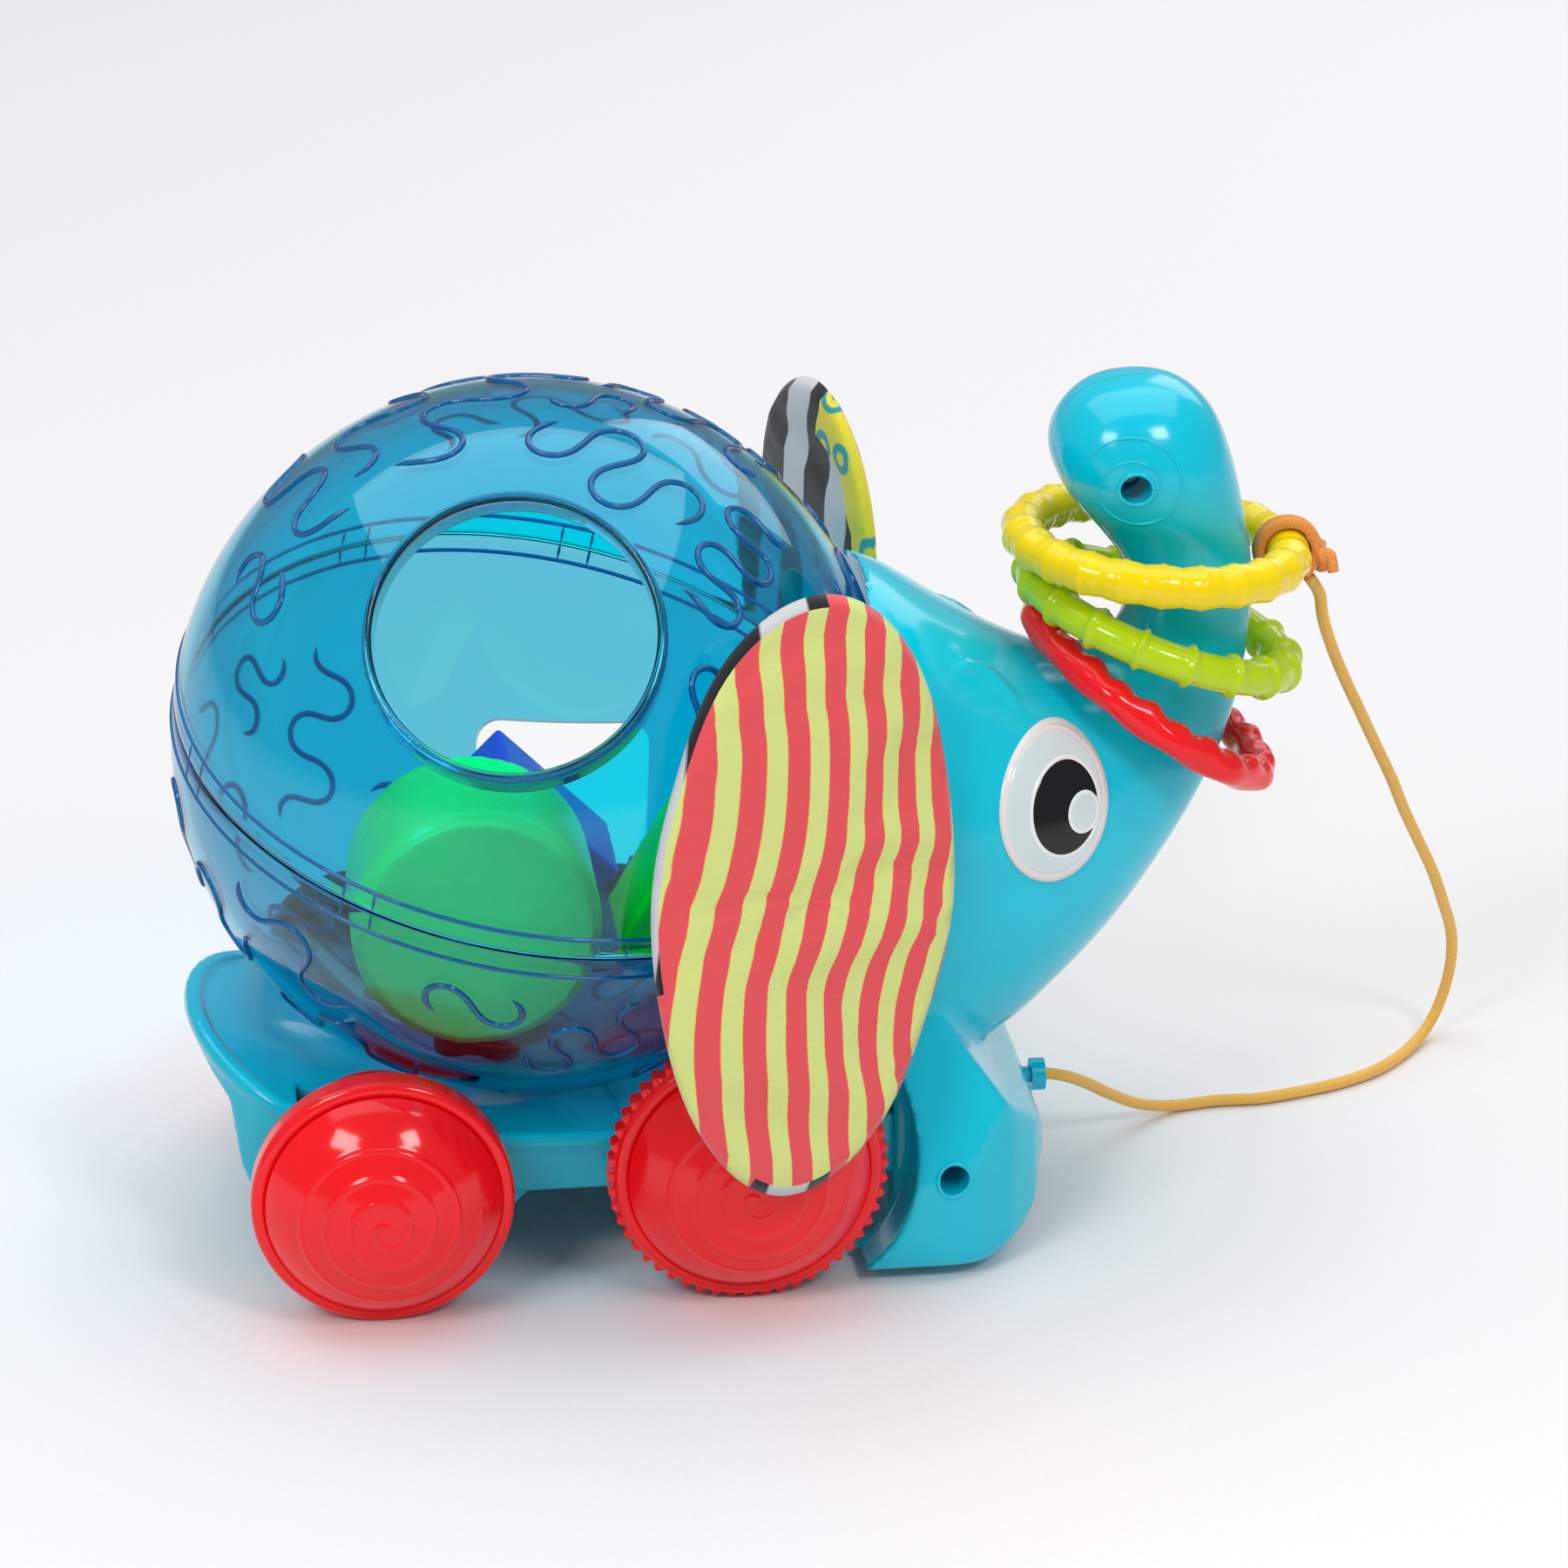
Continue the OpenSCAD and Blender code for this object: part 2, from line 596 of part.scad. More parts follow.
module yellow_block() {
    color("gold") at_ball() translate(yellow_c) rotate([90, 0, 0]) translate([0, 0, -15])
        linear_extrude(30) triangle(triangle_block);
}
module red_block() {
    color(red) at_ball() translate(red_c) {
        cylinder(r = lobe_block_d / 2 - 4, h = 12);
        for (a = [0 : 72 : 288])
            rotate([0, 0, a]) translate([lobe_block_d / 2 - 5, 0, 0]) cylinder(r = 5, h = 12);
    }
}

// Rings
module ring(at, tilt, thick) {
    translate([at[0], 0, at[1]]) rotate([0, tilt, 0]) rotate_extrude(angle = 360)
        translate([ring_r - thick / 2, 0]) circle(r = thick / 2);
}
module ring_yellow() {
    color("gold") ring(yellow_at, yellow_tilt, ring_t);
}
module ring_green() {
    color("yellowgreen") ring(green_at, green_tilt, ring_t);
}
module ring_red() {
    color(red) ring(red_at, red_tilt, flat_ring_t);
}

// Cord, its collar in the chest, and the knots at its two ends
module cord_collar() {
    color(cyan) translate([chest_x - 4, 0, cord_z]) rotate([0, 90, 0]) difference() {
        union() {
            translate([0, 0, 4.2]) cylinder(r = 4, h = 3.4);
            translate([0, 0, -2]) cylinder(r = cord_r + 0.5, h = 7);
        }
        translate([0, 0, -3]) cylinder(r = cord_r + 0.15, h = 12);
    }
}
module cord_stop_knot() {
    color("orange") translate([chest_x - 11.2, 0, cord_z]) sphere(r = 4, $fn = 32);
}
function turned(v, i, n) = let (f = v / norm(v), s = cross(f, [0, 0, 1]), side = s / norm(s), top = cross(side, f))
    cos(360 * i / n) * side + sin(360 * i / n) * top;
function heading(i) = CORD[min(len(CORD) - 1, i + 1)] - CORD[max(0, i - 1)];
module pull_cord() {
    color("orange") loft([for (i = [0 : len(CORD) - 1])
        [for (k = [0 : 7]) CORD[i] + cord_r * turned(heading(i), k, 8)]]);
}
module ring_cord_knot() {
    color("orange") translate([yellow_at[0], 0, yellow_at[1]]) rotate([0, yellow_tilt, 0])
        translate([ring_r - ring_t / 2, 0, 0]) rotate([90, 0, 0]) translate([0, 0, -cord_r]) rotate_extrude()
            translate([ring_t / 2 + 0.08, 0]) square([cord_d, cord_d]);
}

cradle();
belly_tray();
belly_screws();
head_shell_right();
head_shell_left();
head_screws();
eye_right();
eye_left();
ear_tab_right();
ear_tab_left();
ear_right();
ear_left();
rear_axle();
drive_roller_right();
drive_roller_left();
rear_wheel_back_right();
rear_wheel_back_left();
rear_wheel_dome_right();
rear_wheel_dome_left();
front_axle();
front_wheel_back_right();
front_wheel_back_left();
front_wheel_dome_right();
front_wheel_dome_left();
ball_lower_shell();
ball_upper_shell();
green_block();
blue_block();
yellow_block();
red_block();
ring_yellow();
ring_green();
ring_red();
cord_collar();
cord_stop_knot();
pull_cord();
ring_cord_knot();
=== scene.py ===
import json
import math
import random

import bmesh
import bpy
import numpy as np
from mathutils import Matrix, Vector
from mathutils.bvhtree import BVHTree


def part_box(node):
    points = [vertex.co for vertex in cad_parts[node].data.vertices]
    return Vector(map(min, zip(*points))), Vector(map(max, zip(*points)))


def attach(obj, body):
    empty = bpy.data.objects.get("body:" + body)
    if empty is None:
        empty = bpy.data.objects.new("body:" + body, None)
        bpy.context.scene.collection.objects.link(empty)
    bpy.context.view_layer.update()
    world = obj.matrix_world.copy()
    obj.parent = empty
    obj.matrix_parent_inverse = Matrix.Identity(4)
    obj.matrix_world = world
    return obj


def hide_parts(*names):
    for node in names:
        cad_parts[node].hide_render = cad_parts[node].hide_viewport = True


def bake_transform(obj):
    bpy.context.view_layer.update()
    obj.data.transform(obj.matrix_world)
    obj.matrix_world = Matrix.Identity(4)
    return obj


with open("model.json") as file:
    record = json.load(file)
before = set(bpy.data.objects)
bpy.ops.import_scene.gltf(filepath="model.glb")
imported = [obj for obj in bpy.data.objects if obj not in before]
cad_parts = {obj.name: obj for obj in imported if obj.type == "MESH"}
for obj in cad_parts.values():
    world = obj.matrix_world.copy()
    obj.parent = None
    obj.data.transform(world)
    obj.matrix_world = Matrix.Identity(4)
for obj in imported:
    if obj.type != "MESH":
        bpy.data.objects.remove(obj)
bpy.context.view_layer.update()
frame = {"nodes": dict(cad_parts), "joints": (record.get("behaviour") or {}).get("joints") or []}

# Elephant pull-along toy: the looks, built round the CAD frame. Lengths are in metres, and MM turns the
# millimetres that plastic parts are drawn in into metres.
MM = 0.001
SIDES = {"right": -1, "left": 1}
CYAN = (0.0, 0.56, 0.73)
JOINTS = {j["name"]: j for j in frame["joints"]}


def joint_at(name):
    return Vector(JOINTS[name]["pos_m"])


BALL = joint_at("ball_roll")
BALL_R = (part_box("ball_upper_shell")[1].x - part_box("ball_upper_shell")[0].x) / 2
REAR = joint_at("rear_wheels_turn")
FRONT = joint_at("front_wheels_turn")
SEAM = Vector(JOINTS["ball_twist_open"]["axis"])
ROUND_HOLE = Vector((-0.096, -0.785, 0.612)).normalized()
SQUARE_HOLE = Vector((0.15, 0.81, -0.57)).normalized()
TRIANGLE_HOLE = Vector((0.8, 0.1, -0.59)).normalized()


# ---------------------------------------------------------------- camera, floor and lights

def make_camera():
    """From the toy's right, 7 degrees towards the tail and 22 degrees above the floor."""
    azimuth, elevation, distance = math.radians(-7), math.radians(22), 1.25
    ball_left, ball_up = 0.0599, 0.0118
    across = Vector((math.cos(azimuth), math.sin(azimuth), 0))
    back = Vector((math.sin(azimuth) * math.cos(elevation), -math.cos(azimuth) * math.cos(elevation),
                   math.sin(elevation)))
    up = back.cross(across)
    data = bpy.data.cameras.new("camera")
    data.lens, data.sensor_width = 121.5, 36
    data.clip_start, data.clip_end = 0.05, 50
    camera = bpy.data.objects.new("camera", data)
    camera.matrix_world = Matrix.Translation(BALL + across * ball_left - up * ball_up + back * distance) \
        @ Matrix((across, up, back)).transposed().to_4x4()
    bpy.context.scene.collection.objects.link(camera)
    bpy.context.scene.camera = camera


def area_light(name, place, target, width, height, power):
    data = bpy.data.lights.new(name, "AREA")
    data.shape, data.size, data.size_y, data.energy = "RECTANGLE", width, height, power
    light = bpy.data.objects.new(name, data)
    light.location = place
    light.rotation_mode = "QUATERNION"
    light.rotation_quaternion = (Vector(target) - Vector(place)).to_track_quat("-Z", "Y")
    bpy.context.scene.collection.objects.link(light)


def make_studio():
    world = bpy.data.worlds.new("studio")
    world.use_nodes = True
    world.node_tree.nodes["Background"].inputs["Color"].default_value = (0.93, 0.95, 1, 1)
    world.node_tree.nodes["Background"].inputs["Strength"].default_value = 0.34
    bpy.context.scene.world = world
    bpy.context.scene.view_settings.view_transform = "Standard"
    middle = (0, 0, 0.1)
    area_light("softbox_right", (0.55, -1.0, 1.15), middle, 0.34, 0.34, 5)
    area_light("softbox_left", (-0.75, -0.85, 1.05), middle, 0.5, 0.34, 6)
    area_light("overhead", (0, 0.9, 3.2), (0, 0.6, 0), 5, 4, 95)
    area_light("back_fill", (0.9, 1.3, 0.9), middle, 0.9, 0.7, 3)
    half = 4.0
    floor = make_mesh("floor", [(-half, -half, 0), (half, -half, 0), (half, half, 0), (-half, half, 0)],
                      [(0, 1, 2, 3)])
    floor.data.materials.append(matte("floor_paper", (0.83, 0.815, 0.82), 0.85, 0.4))


# ---------------------------------------------------------------- materials

def new_material(name, colour):
    """A material whose Principled shader is returned with a function that adds linked nodes."""
    material = bpy.data.materials.new(name)
    material.use_nodes = True
    material.diffuse_color = (*colour, 1)
    tree = material.node_tree
    shader = tree.nodes["Principled BSDF"]

    def add(kind, values=None, links=None, **settings):
        node = tree.nodes.new(kind)
        for key, value in settings.items():
            setattr(node, key, value)
        set_inputs(node, values or {})
        for key, socket in (links or {}).items():
            tree.links.new(socket, node.inputs[key])
        return node

    return material, tree, shader, add


def set_inputs(node, values):
    for key, value in values.items():
        node.inputs[key].default_value = value


def raise_skin(tree, shader, add, height, strength, distance):
    """Bump: the shader's normal follows a height, in metres of distance."""
    bump = add("ShaderNodeBump", {"Strength": strength, "Distance": distance}, {"Height": height})
    tree.links.new(bump.outputs["Normal"], shader.inputs["Normal"])


def ramp(add, source, stops):
    """Colours along source, where stops are (place, colour)."""
    node = add("ShaderNodeValToRGB", links={"Fac": source})
    elements = node.color_ramp.elements
    while len(elements) < len(stops):
        elements.new(0.5)
    for element, (place, colour) in zip(elements, stops):
        element.position, element.color = place, (*colour, 1)
    return node.outputs["Color"]


def scaled(colour, factor):
    return tuple(min(1, c * factor) for c in colour)


def plastic(name, colour, roughness=0.16, coat=0.12, variation=0.05, orange_peel=0.02):
    """Glossy moulded plastic: cloudy in colour by a few per cent, with a faint orange-peel surface, and
    gloss that varies as a mould's polish does."""
    material, tree, shader, add = new_material(name, colour)
    place = add("ShaderNodeTexCoord").outputs["Object"]
    cloud = add("ShaderNodeTexNoise", {"Scale": 38, "Detail": 3}, {"Vector": place})
    shades = [(0.3, scaled(colour, 1 - variation)), (0.7, scaled(colour, 1 + variation))]
    tree.links.new(ramp(add, cloud.outputs["Fac"], shades), shader.inputs["Base Color"])
    polish = add("ShaderNodeTexNoise", {"Scale": 160, "Detail": 2}, {"Vector": place})
    gloss = add("ShaderNodeMapRange", {"To Min": roughness * 0.75, "To Max": roughness * 1.3},
                {"Value": polish.outputs["Fac"]})
    tree.links.new(gloss.outputs["Result"], shader.inputs["Roughness"])
    peel = add("ShaderNodeTexNoise", {"Scale": 420, "Detail": 1}, {"Vector": place})
    raise_skin(tree, shader, add, peel.outputs["Fac"], orange_peel, 1 * MM)
    set_inputs(shader, {"Coat Weight": coat, "Coat Roughness": 0.06, "IOR": 1.5, "Specular IOR Level": 0.38})
    return material


def matte(name, colour, roughness, grain=1.0):
    """A dull surface with a fine grain."""
    material, tree, shader, add = new_material(name, colour)
    place = add("ShaderNodeTexCoord").outputs["Object"]
    grains = add("ShaderNodeTexNoise", {"Scale": 700, "Detail": 2}, {"Vector": place})
    raise_skin(tree, shader, add, grains.outputs["Fac"], 0.1 * grain, 0.5 * MM)
    shades = [(0.3, scaled(colour, 0.985)), (0.7, scaled(colour, 1.01))]
    tree.links.new(ramp(add, grains.outputs["Fac"], shades), shader.inputs["Base Color"])
    shader.inputs["Roughness"].default_value = roughness
    return material


def clear_plastic(name, colour, rim_colour, lamp_colour, transmission=1.0):
    """Tinted see-through plastic, deeper in colour where the wall is seen edge on, that lets lamps through."""
    material, tree, shader, add = new_material(name, colour)
    edge = add("ShaderNodeLayerWeight", {"Blend": 0.35})
    tree.links.new(ramp(add, edge.outputs["Facing"], [(0.25, colour), (0.95, rim_colour)]),
                   shader.inputs["Base Color"])
    place = add("ShaderNodeTexCoord").outputs["Object"]
    flow = add("ShaderNodeTexNoise", {"Scale": 26, "Detail": 2}, {"Vector": place})
    raise_skin(tree, shader, add, flow.outputs["Fac"], 0.05, 2 * MM)
    set_inputs(shader, {"Roughness": 0.03, "IOR": 1.46, "Transmission Weight": transmission})
    clear = add("ShaderNodeBsdfTransparent", {"Color": (*lamp_colour, 1)})
    path = add("ShaderNodeLightPath")
    mix = add("ShaderNodeMixShader", links={0: path.outputs["Is Shadow Ray"]})
    tree.links.new(shader.outputs[0], mix.inputs[1])
    tree.links.new(clear.outputs[0], mix.inputs[2])
    tree.links.new(mix.outputs[0], tree.nodes["Material Output"].inputs["Surface"])
    return material


def steel(name):
    """Drawn wire: bright metal with fine lines along its length."""
    grey = (0.62, 0.63, 0.65)
    material, tree, shader, add = new_material(name, grey)
    place = add("ShaderNodeTexCoord").outputs["Object"]
    drawn = add("ShaderNodeMapping", {"Scale": (1500, 60, 1500)}, {"Vector": place})
    lines = add("ShaderNodeTexNoise", {"Scale": 1, "Detail": 2}, {"Vector": drawn.outputs["Vector"]})
    gloss = add("ShaderNodeMapRange", {"To Min": 0.22, "To Max": 0.42}, {"Value": lines.outputs["Fac"]})
    tree.links.new(gloss.outputs["Result"], shader.inputs["Roughness"])
    set_inputs(shader, {"Base Color": (*grey, 1), "Metallic": 1})
    return material


def cloth_finish(tree, shader, add, place, thread=0.55 * MM, depth=0.25):
    """Plain weave: two crossed rows of threads in the normal, a soft sheen and a dull surface."""
    scale = 0.314 / thread  # a wave texture of scale 1 repeats every 0.314 m
    rows = []
    for axis in "XY":
        wave = add("ShaderNodeTexWave", {"Scale": scale, "Distortion": 0.6, "Detail": 1, "Detail Scale": 2},
                   {"Vector": place}, bands_direction=axis)
        rows.append(wave.outputs["Fac"])
    weave = add("ShaderNodeMath", operation="MULTIPLY")
    for socket, row in zip(weave.inputs, rows):
        tree.links.new(row, socket)
    raise_skin(tree, shader, add, weave.outputs[0], depth, 0.4 * MM)
    set_inputs(shader, {"Roughness": 0.82, "Sheen Weight": 0.25, "Sheen Roughness": 0.5,
                        "Specular IOR Level": 0.25})


def striped_cloth(name):
    """The right ear's print: wavy upright stripes, coral on lime, with a thin orange line between them. They
    stand closer towards the front."""
    stripe_pitch, sway, closer_by = 11.3 * MM, 12 * MM, 2.5
    coral, orange, lime = (0.83, 0.085, 0.1), (0.9, 0.36, 0.07), (0.7, 0.78, 0.25)
    material, tree, shader, add = new_material(name, coral)
    place = add("ShaderNodeUVMap", uv_map="flat").outputs["UV"]
    axes = add("ShaderNodeSeparateXYZ", links={"Vector": place})
    stretched = add("ShaderNodeMapping", {"Scale": (6, 15, 1)}, {"Vector": place})
    waves = add("ShaderNodeTexNoise", {"Scale": 1, "Detail": 0.5}, {"Vector": stretched.outputs["Vector"]})
    shift = add("ShaderNodeMapRange", {"To Min": -sway, "To Max": sway}, {"Value": waves.outputs["Fac"]})
    closer = add("ShaderNodeMath", {1: closer_by, 2: 1}, {0: axes.outputs["X"]}, operation="MULTIPLY_ADD")
    fanned = add("ShaderNodeMath", links={0: axes.outputs["X"], 1: closer.outputs[0]}, operation="MULTIPLY")
    bent = add("ShaderNodeMath", operation="ADD")
    tree.links.new(fanned.outputs[0], bent.inputs[0])
    tree.links.new(shift.outputs["Result"], bent.inputs[1])
    turns = add("ShaderNodeMath", {1: 2 * math.pi / stripe_pitch}, {0: bent.outputs[0]}, operation="MULTIPLY")
    wave = add("ShaderNodeMath", links={0: turns.outputs[0]}, operation="SINE")
    share = add("ShaderNodeMapRange", {"From Min": -1, "From Max": 1}, {"Value": wave.outputs[0]})
    tree.links.new(ramp(add, share.outputs["Result"], [(0.41, lime), (0.45, orange), (0.5, coral)]),
                   shader.inputs["Base Color"])
    cloth_finish(tree, shader, add, place)
    return material


def zebra_cloth(name):
    """The ears' inner print: black and grey-white bands that wander."""
    white, black = (0.6, 0.61, 0.63), (0.012, 0.012, 0.016)
    material, tree, shader, add = new_material(name, white)
    place = add("ShaderNodeUVMap", uv_map="flat").outputs["UV"]
    bands = add("ShaderNodeTexWave", {"Scale": 12, "Distortion": 6.5, "Detail": 1.0, "Detail Scale": 0.55,
                                      "Phase Offset": 1}, {"Vector": place}, bands_direction="X")
    tree.links.new(ramp(add, bands.outputs["Fac"], [(0.5, black), (0.58, white)]), shader.inputs["Base Color"])
    cloth_finish(tree, shader, add, place)
    return material


def dotted_cloth(name):
    """The left ear's outer print: teal dots and rings on yellow."""
    yellow, teal = (0.85, 0.72, 0.05), (0.02, 0.35, 0.38)
    material, tree, shader, add = new_material(name, yellow)
    place = add("ShaderNodeUVMap", uv_map="flat").outputs["UV"]
    cells = add("ShaderNodeTexVoronoi", {"Scale": 75, "Randomness": 0.35}, {"Vector": place})
    dots = ramp(add, cells.outputs["Distance"], [(0.12, teal), (0.15, yellow), (0.25, yellow), (0.27, teal),
                                                (0.36, teal), (0.39, yellow)])
    tree.links.new(dots, shader.inputs["Base Color"])
    cloth_finish(tree, shader, add, place)
    return material


def braid(name, colour, painted_strand_shade):
    """A braided cord's colour, with painted shade between its strands: darker where the strand noise, which
    also sets the bump, is low.
    """
    material, tree, shader, add = new_material(name, colour)
    place = add("ShaderNodeUVMap", uv_map="flat").outputs["UV"]
    strand = add("ShaderNodeTexNoise", {"Scale": 2600, "Detail": 2}, {"Vector": place})
    tree.links.new(ramp(add, strand.outputs["Fac"], [(0.3, painted_strand_shade), (0.6, colour)]), shader.inputs["Base Color"])
    raise_skin(tree, shader, add, strand.outputs["Fac"], 0.3, 0.3 * MM)
    set_inputs(shader, {"Roughness": 0.8, "Sheen Weight": 0.3})
    return material


# ---------------------------------------------------------------- mesh tools

def at_mm(x, y, z):
    return Vector((x, y, z)) * MM


def make_mesh(name, points, faces, sharp=None):
    mesh = bpy.data.meshes.new(name)
    mesh.from_pydata([tuple(p) for p in points], [], [tuple(f) for f in faces])
    mesh.shade_smooth()
    if sharp is not None:
        mesh.set_sharp_from_angle(angle=math.radians(sharp))
    piece = bpy.data.objects.new(name, mesh)
    bpy.context.scene.collection.objects.link(piece)
    return piece


def grid_faces(rows, columns, close_rows=False, close_columns=True, first=0):
    """Quads over a grid of points that is numbered row by row."""
    return [(first + i * columns + j, first + i * columns + (j + 1) % columns,
             first + (i + 1) % rows * columns + (j + 1) % columns, first + (i + 1) % rows * columns + j)
            for i in range(rows if close_rows else rows - 1)
            for j in range(columns if close_columns else columns - 1)]


def closed_loft(name, rings, sharp=None):
    """A closed body through rings of equal length, with a fan of triangles on each end."""
    count = len(rings[0])
    points = [p for ring in rings for p in ring]
    faces = grid_faces(len(rings), count)
    for ring, start, flip in ((rings[0], 0, True), (rings[-1], (len(rings) - 1) * count, False)):
        points.append(sum((Vector(p) for p in ring), Vector()) / count)
        centre = len(points) - 1
        for j in range(count):
            a, b = start + j, start + (j + 1) % count
            faces.append((centre, b, a) if flip else (centre, a, b))
    piece = make_mesh(name, points, faces, sharp)
    face_outwards(piece)
    return piece


def face_outwards(piece):
    mesh = bmesh.new()
    mesh.from_mesh(piece.data)
    bmesh.ops.recalc_face_normals(mesh, faces=mesh.faces)
    mesh.to_mesh(piece.data)
    mesh.free()


def settle(piece):
    """Applies the piece's modifiers to its mesh."""
    mesh = bpy.data.meshes.new_from_object(piece.evaluated_get(bpy.context.evaluated_depsgraph_get()))
    old = piece.data
    piece.modifiers.clear()
    piece.data = mesh
    bpy.data.meshes.remove(old)


def modify(piece, kind, **settings):
    modifier = piece.modifiers.new(kind.lower(), kind)
    for key, value in settings.items():
        setattr(modifier, key, value)
    settle(piece)


def combine(piece, other, operation):
    """Unites, cuts or crosses piece with other, which is used up."""
    modify(piece, "BOOLEAN", operation=operation, object=other, solver="MANIFOLD")
    discard(other)


def discard(piece):
    mesh = piece.data
    bpy.data.objects.remove(piece)
    bpy.data.meshes.remove(mesh)


def remesh(piece, voxel, rounds):
    """An even skin of voxels, smoothed, which rounds every edge by about the voxel's size."""
    modify(piece, "REMESH", mode="VOXEL", voxel_size=voxel)
    modify(piece, "SMOOTH", factor=0.5, iterations=rounds)
    piece.data.shade_smooth()


def prism(name, outline, axes, low, high):
    """An outline of (a, b) pairs in millimetres, swept from low to high. axes says which row axes a, b and
    the sweep run along."""
    points = []
    for along in (low, high):
        for a, b in outline:
            p = [0, 0, 0]
            p[axes[0]], p[axes[1]], p[axes[2]] = a * MM, b * MM, along * MM
            points.append(p)
    n = len(outline)
    faces = [tuple(range(n)), tuple(range(n, 2 * n))]
    faces += [(i, (i + 1) % n, n + (i + 1) % n, n + i) for i in range(n)]
    piece = make_mesh(name, points, faces)
    face_outwards(piece)
    return piece


def aim(direction):
    """The turn that takes +Z to a direction, as the CAD model's holes are set."""
    return Matrix.Rotation(math.atan2(direction.y, direction.x), 3, "Z") \
        @ Matrix.Rotation(math.acos(direction.z / direction.length), 3, "Y")


def lathe(name, profile, segments, place, turn=Matrix.Identity(3), shape=None, sharp=None, closed=False):
    """Turns (radius, height) pairs in metres about the local Z axis. shape(radius, height, angle, index) may
    change a point's radius and height. A closed profile is a loop, and an open one ends on the axis."""
    rings = []
    for index, (radius, height) in enumerate(profile):
        ring = []
        for step in range(segments):
            angle = 2 * math.pi * step / segments
            r, h = shape(radius, height, angle, index) if shape else (radius, height)
            ring.append(place + turn @ Vector((r * math.cos(angle), r * math.sin(angle), h)))
        rings.append(ring)
    if closed:
        piece = make_mesh(name, [p for ring in rings for p in ring],
                          grid_faces(len(rings), segments, close_rows=True), sharp)
        face_outwards(piece)
        return piece
    return closed_loft(name, rings, sharp)


def tube(name, path, radius, sides=12, relief=None):
    """A closed tube along a path of points. relief(angle, length) changes the radius by a factor."""
    rings, length, last, side = [], 0.0, None, None
    for index, point in enumerate(path):
        ahead = (path[min(index + 1, len(path) - 1)] - path[max(index - 1, 0)]).normalized()
        if side is None:
            side = ahead.orthogonal().normalized()
        side = (side - ahead * side.dot(ahead)).normalized()
        other = ahead.cross(side)
        length += (point - last).length if last is not None else 0
        last = point
        r = radius(index / (len(path) - 1)) if callable(radius) else radius
        ring = []
        for k in range(sides):
            angle = 2 * math.pi * k / sides
            wide = r * (relief(angle, length) if relief else 1)
            ring.append(point + side * math.cos(angle) * wide + other * math.sin(angle) * wide)
        rings.append(ring)
    piece = closed_loft(name, rings)
    layer = piece.data.uv_layers.new(name="flat")
    step = 2 * math.pi * (radius(0.5) if callable(radius) else radius) / sides
    spacing = length / max(1, len(path) - 1)
    for loop in piece.data.loops:
        vertex = min(loop.vertex_index, len(rings) * sides - 1)
        layer.data[loop.index].uv = ((vertex % sides) * step, vertex // sides * spacing)
    return piece


def smooth_path(points, step):
    """A smooth curve through points, cut into stretches of about step."""
    path = []
    for i in range(len(points) - 1):
        a, b, c, d = (points[min(max(k, 0), len(points) - 1)] for k in (i - 1, i, i + 1, i + 2))
        count = max(1, round((c - b).length / step))
        for j in range(count):
            path.append(spline(a, b, c, d, j / count))
    return path + [points[-1]]


def spline(a, b, c, d, t):
    """Where a smooth curve through b and c stands a share t of the way between them."""
    return 0.5 * (2 * b + (c - a) * t + (2 * a - 5 * b + 4 * c - d) * t * t + (3 * b - a - 3 * c + d) * t ** 3)


def joined(name, pieces):
    """Several pieces as one mesh."""
    mesh = bmesh.new()
    for piece in pieces:
        mesh.from_mesh(piece.data)
    result = pieces[0]
    mesh.to_mesh(result.data)
    mesh.free()
    result.name = name
    for piece in pieces[1:]:
        discard(piece)
    result.data.shade_smooth()
    return result


def place(piece, body, material, slot, nodes=()):
    """Gives a piece its material, the body that it rides on and the CAD nodes that it stands for; slot is not
    used.
    """
    if material is not None:
        piece.data.materials.clear()
        piece.data.materials.append(material)
    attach(piece, body)
    if nodes:
        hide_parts(*nodes)
    return piece


# ---------------------------------------------------------------- pull cord

# The cord's route, as in the CAD model, in millimetres
CORD_R = 1.5 * MM
CORD_ROUTE = [(63.5, 0, 25), (69, 0, 25), (74.5, 0, 25), (80, 2, 23), (86, 7, 18.5), (94, 14, 11.5),
              (103, 21, 5), (113, 26, 1.8), (124, 28, 1.6), (135, 28, 1.6), (147, 31, 1.6), (158, 35, 1.6),
              (168, 41, 1.6), (177, 50, 1.6), (185, 60, 3), (190, 64, 10), (191.5, 62, 21), (190, 57.5, 32),
              (186, 52, 43), (181.5, 47, 54), (176, 42, 65), (170.5, 36, 76), (165.5, 31, 87), (160, 27, 98),
              (154.5, 22, 109), (149, 17, 120), (144.5, 12, 130), (141, 6.5, 139), (139, 2.5, 146.5),
              (135.7, 0, 151.9)]


def strands(angle, length):
    """A round braid: two sets of strands that cross, eight each way, one crossing every 3 mm."""
    lay = 2 * math.pi * length / (6 * MM)
    return 1 + 0.05 * math.cos(4 * angle + lay * 2) * math.cos(4 * angle - lay * 2)


def make_cord(yellow):
    route = [at_mm(*p) for p in CORD_ROUTE]
    path = smooth_path(route, 0.5 * MM)
    cord = tube("pull_cord_braid", path, CORD_R * 0.97, sides=16, relief=strands)
    # The braid's second colour is painted shade between its strands
    cord.data.materials.append(braid("cord_braid", (0.95, 0.56, 0.11), (0.75, 0.33, 0.03)))
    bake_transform(cord)
    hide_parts("pull_cord")
    knot = make_ring_knot(yellow)
    stop = tube("cord_stop_knot_braid", knot_path(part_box("cord_stop_knot")), CORD_R * 0.75, relief=strands)
    place(stop, "chassis", cord.data.materials[0], "cord_fabric", ["cord_stop_knot"])


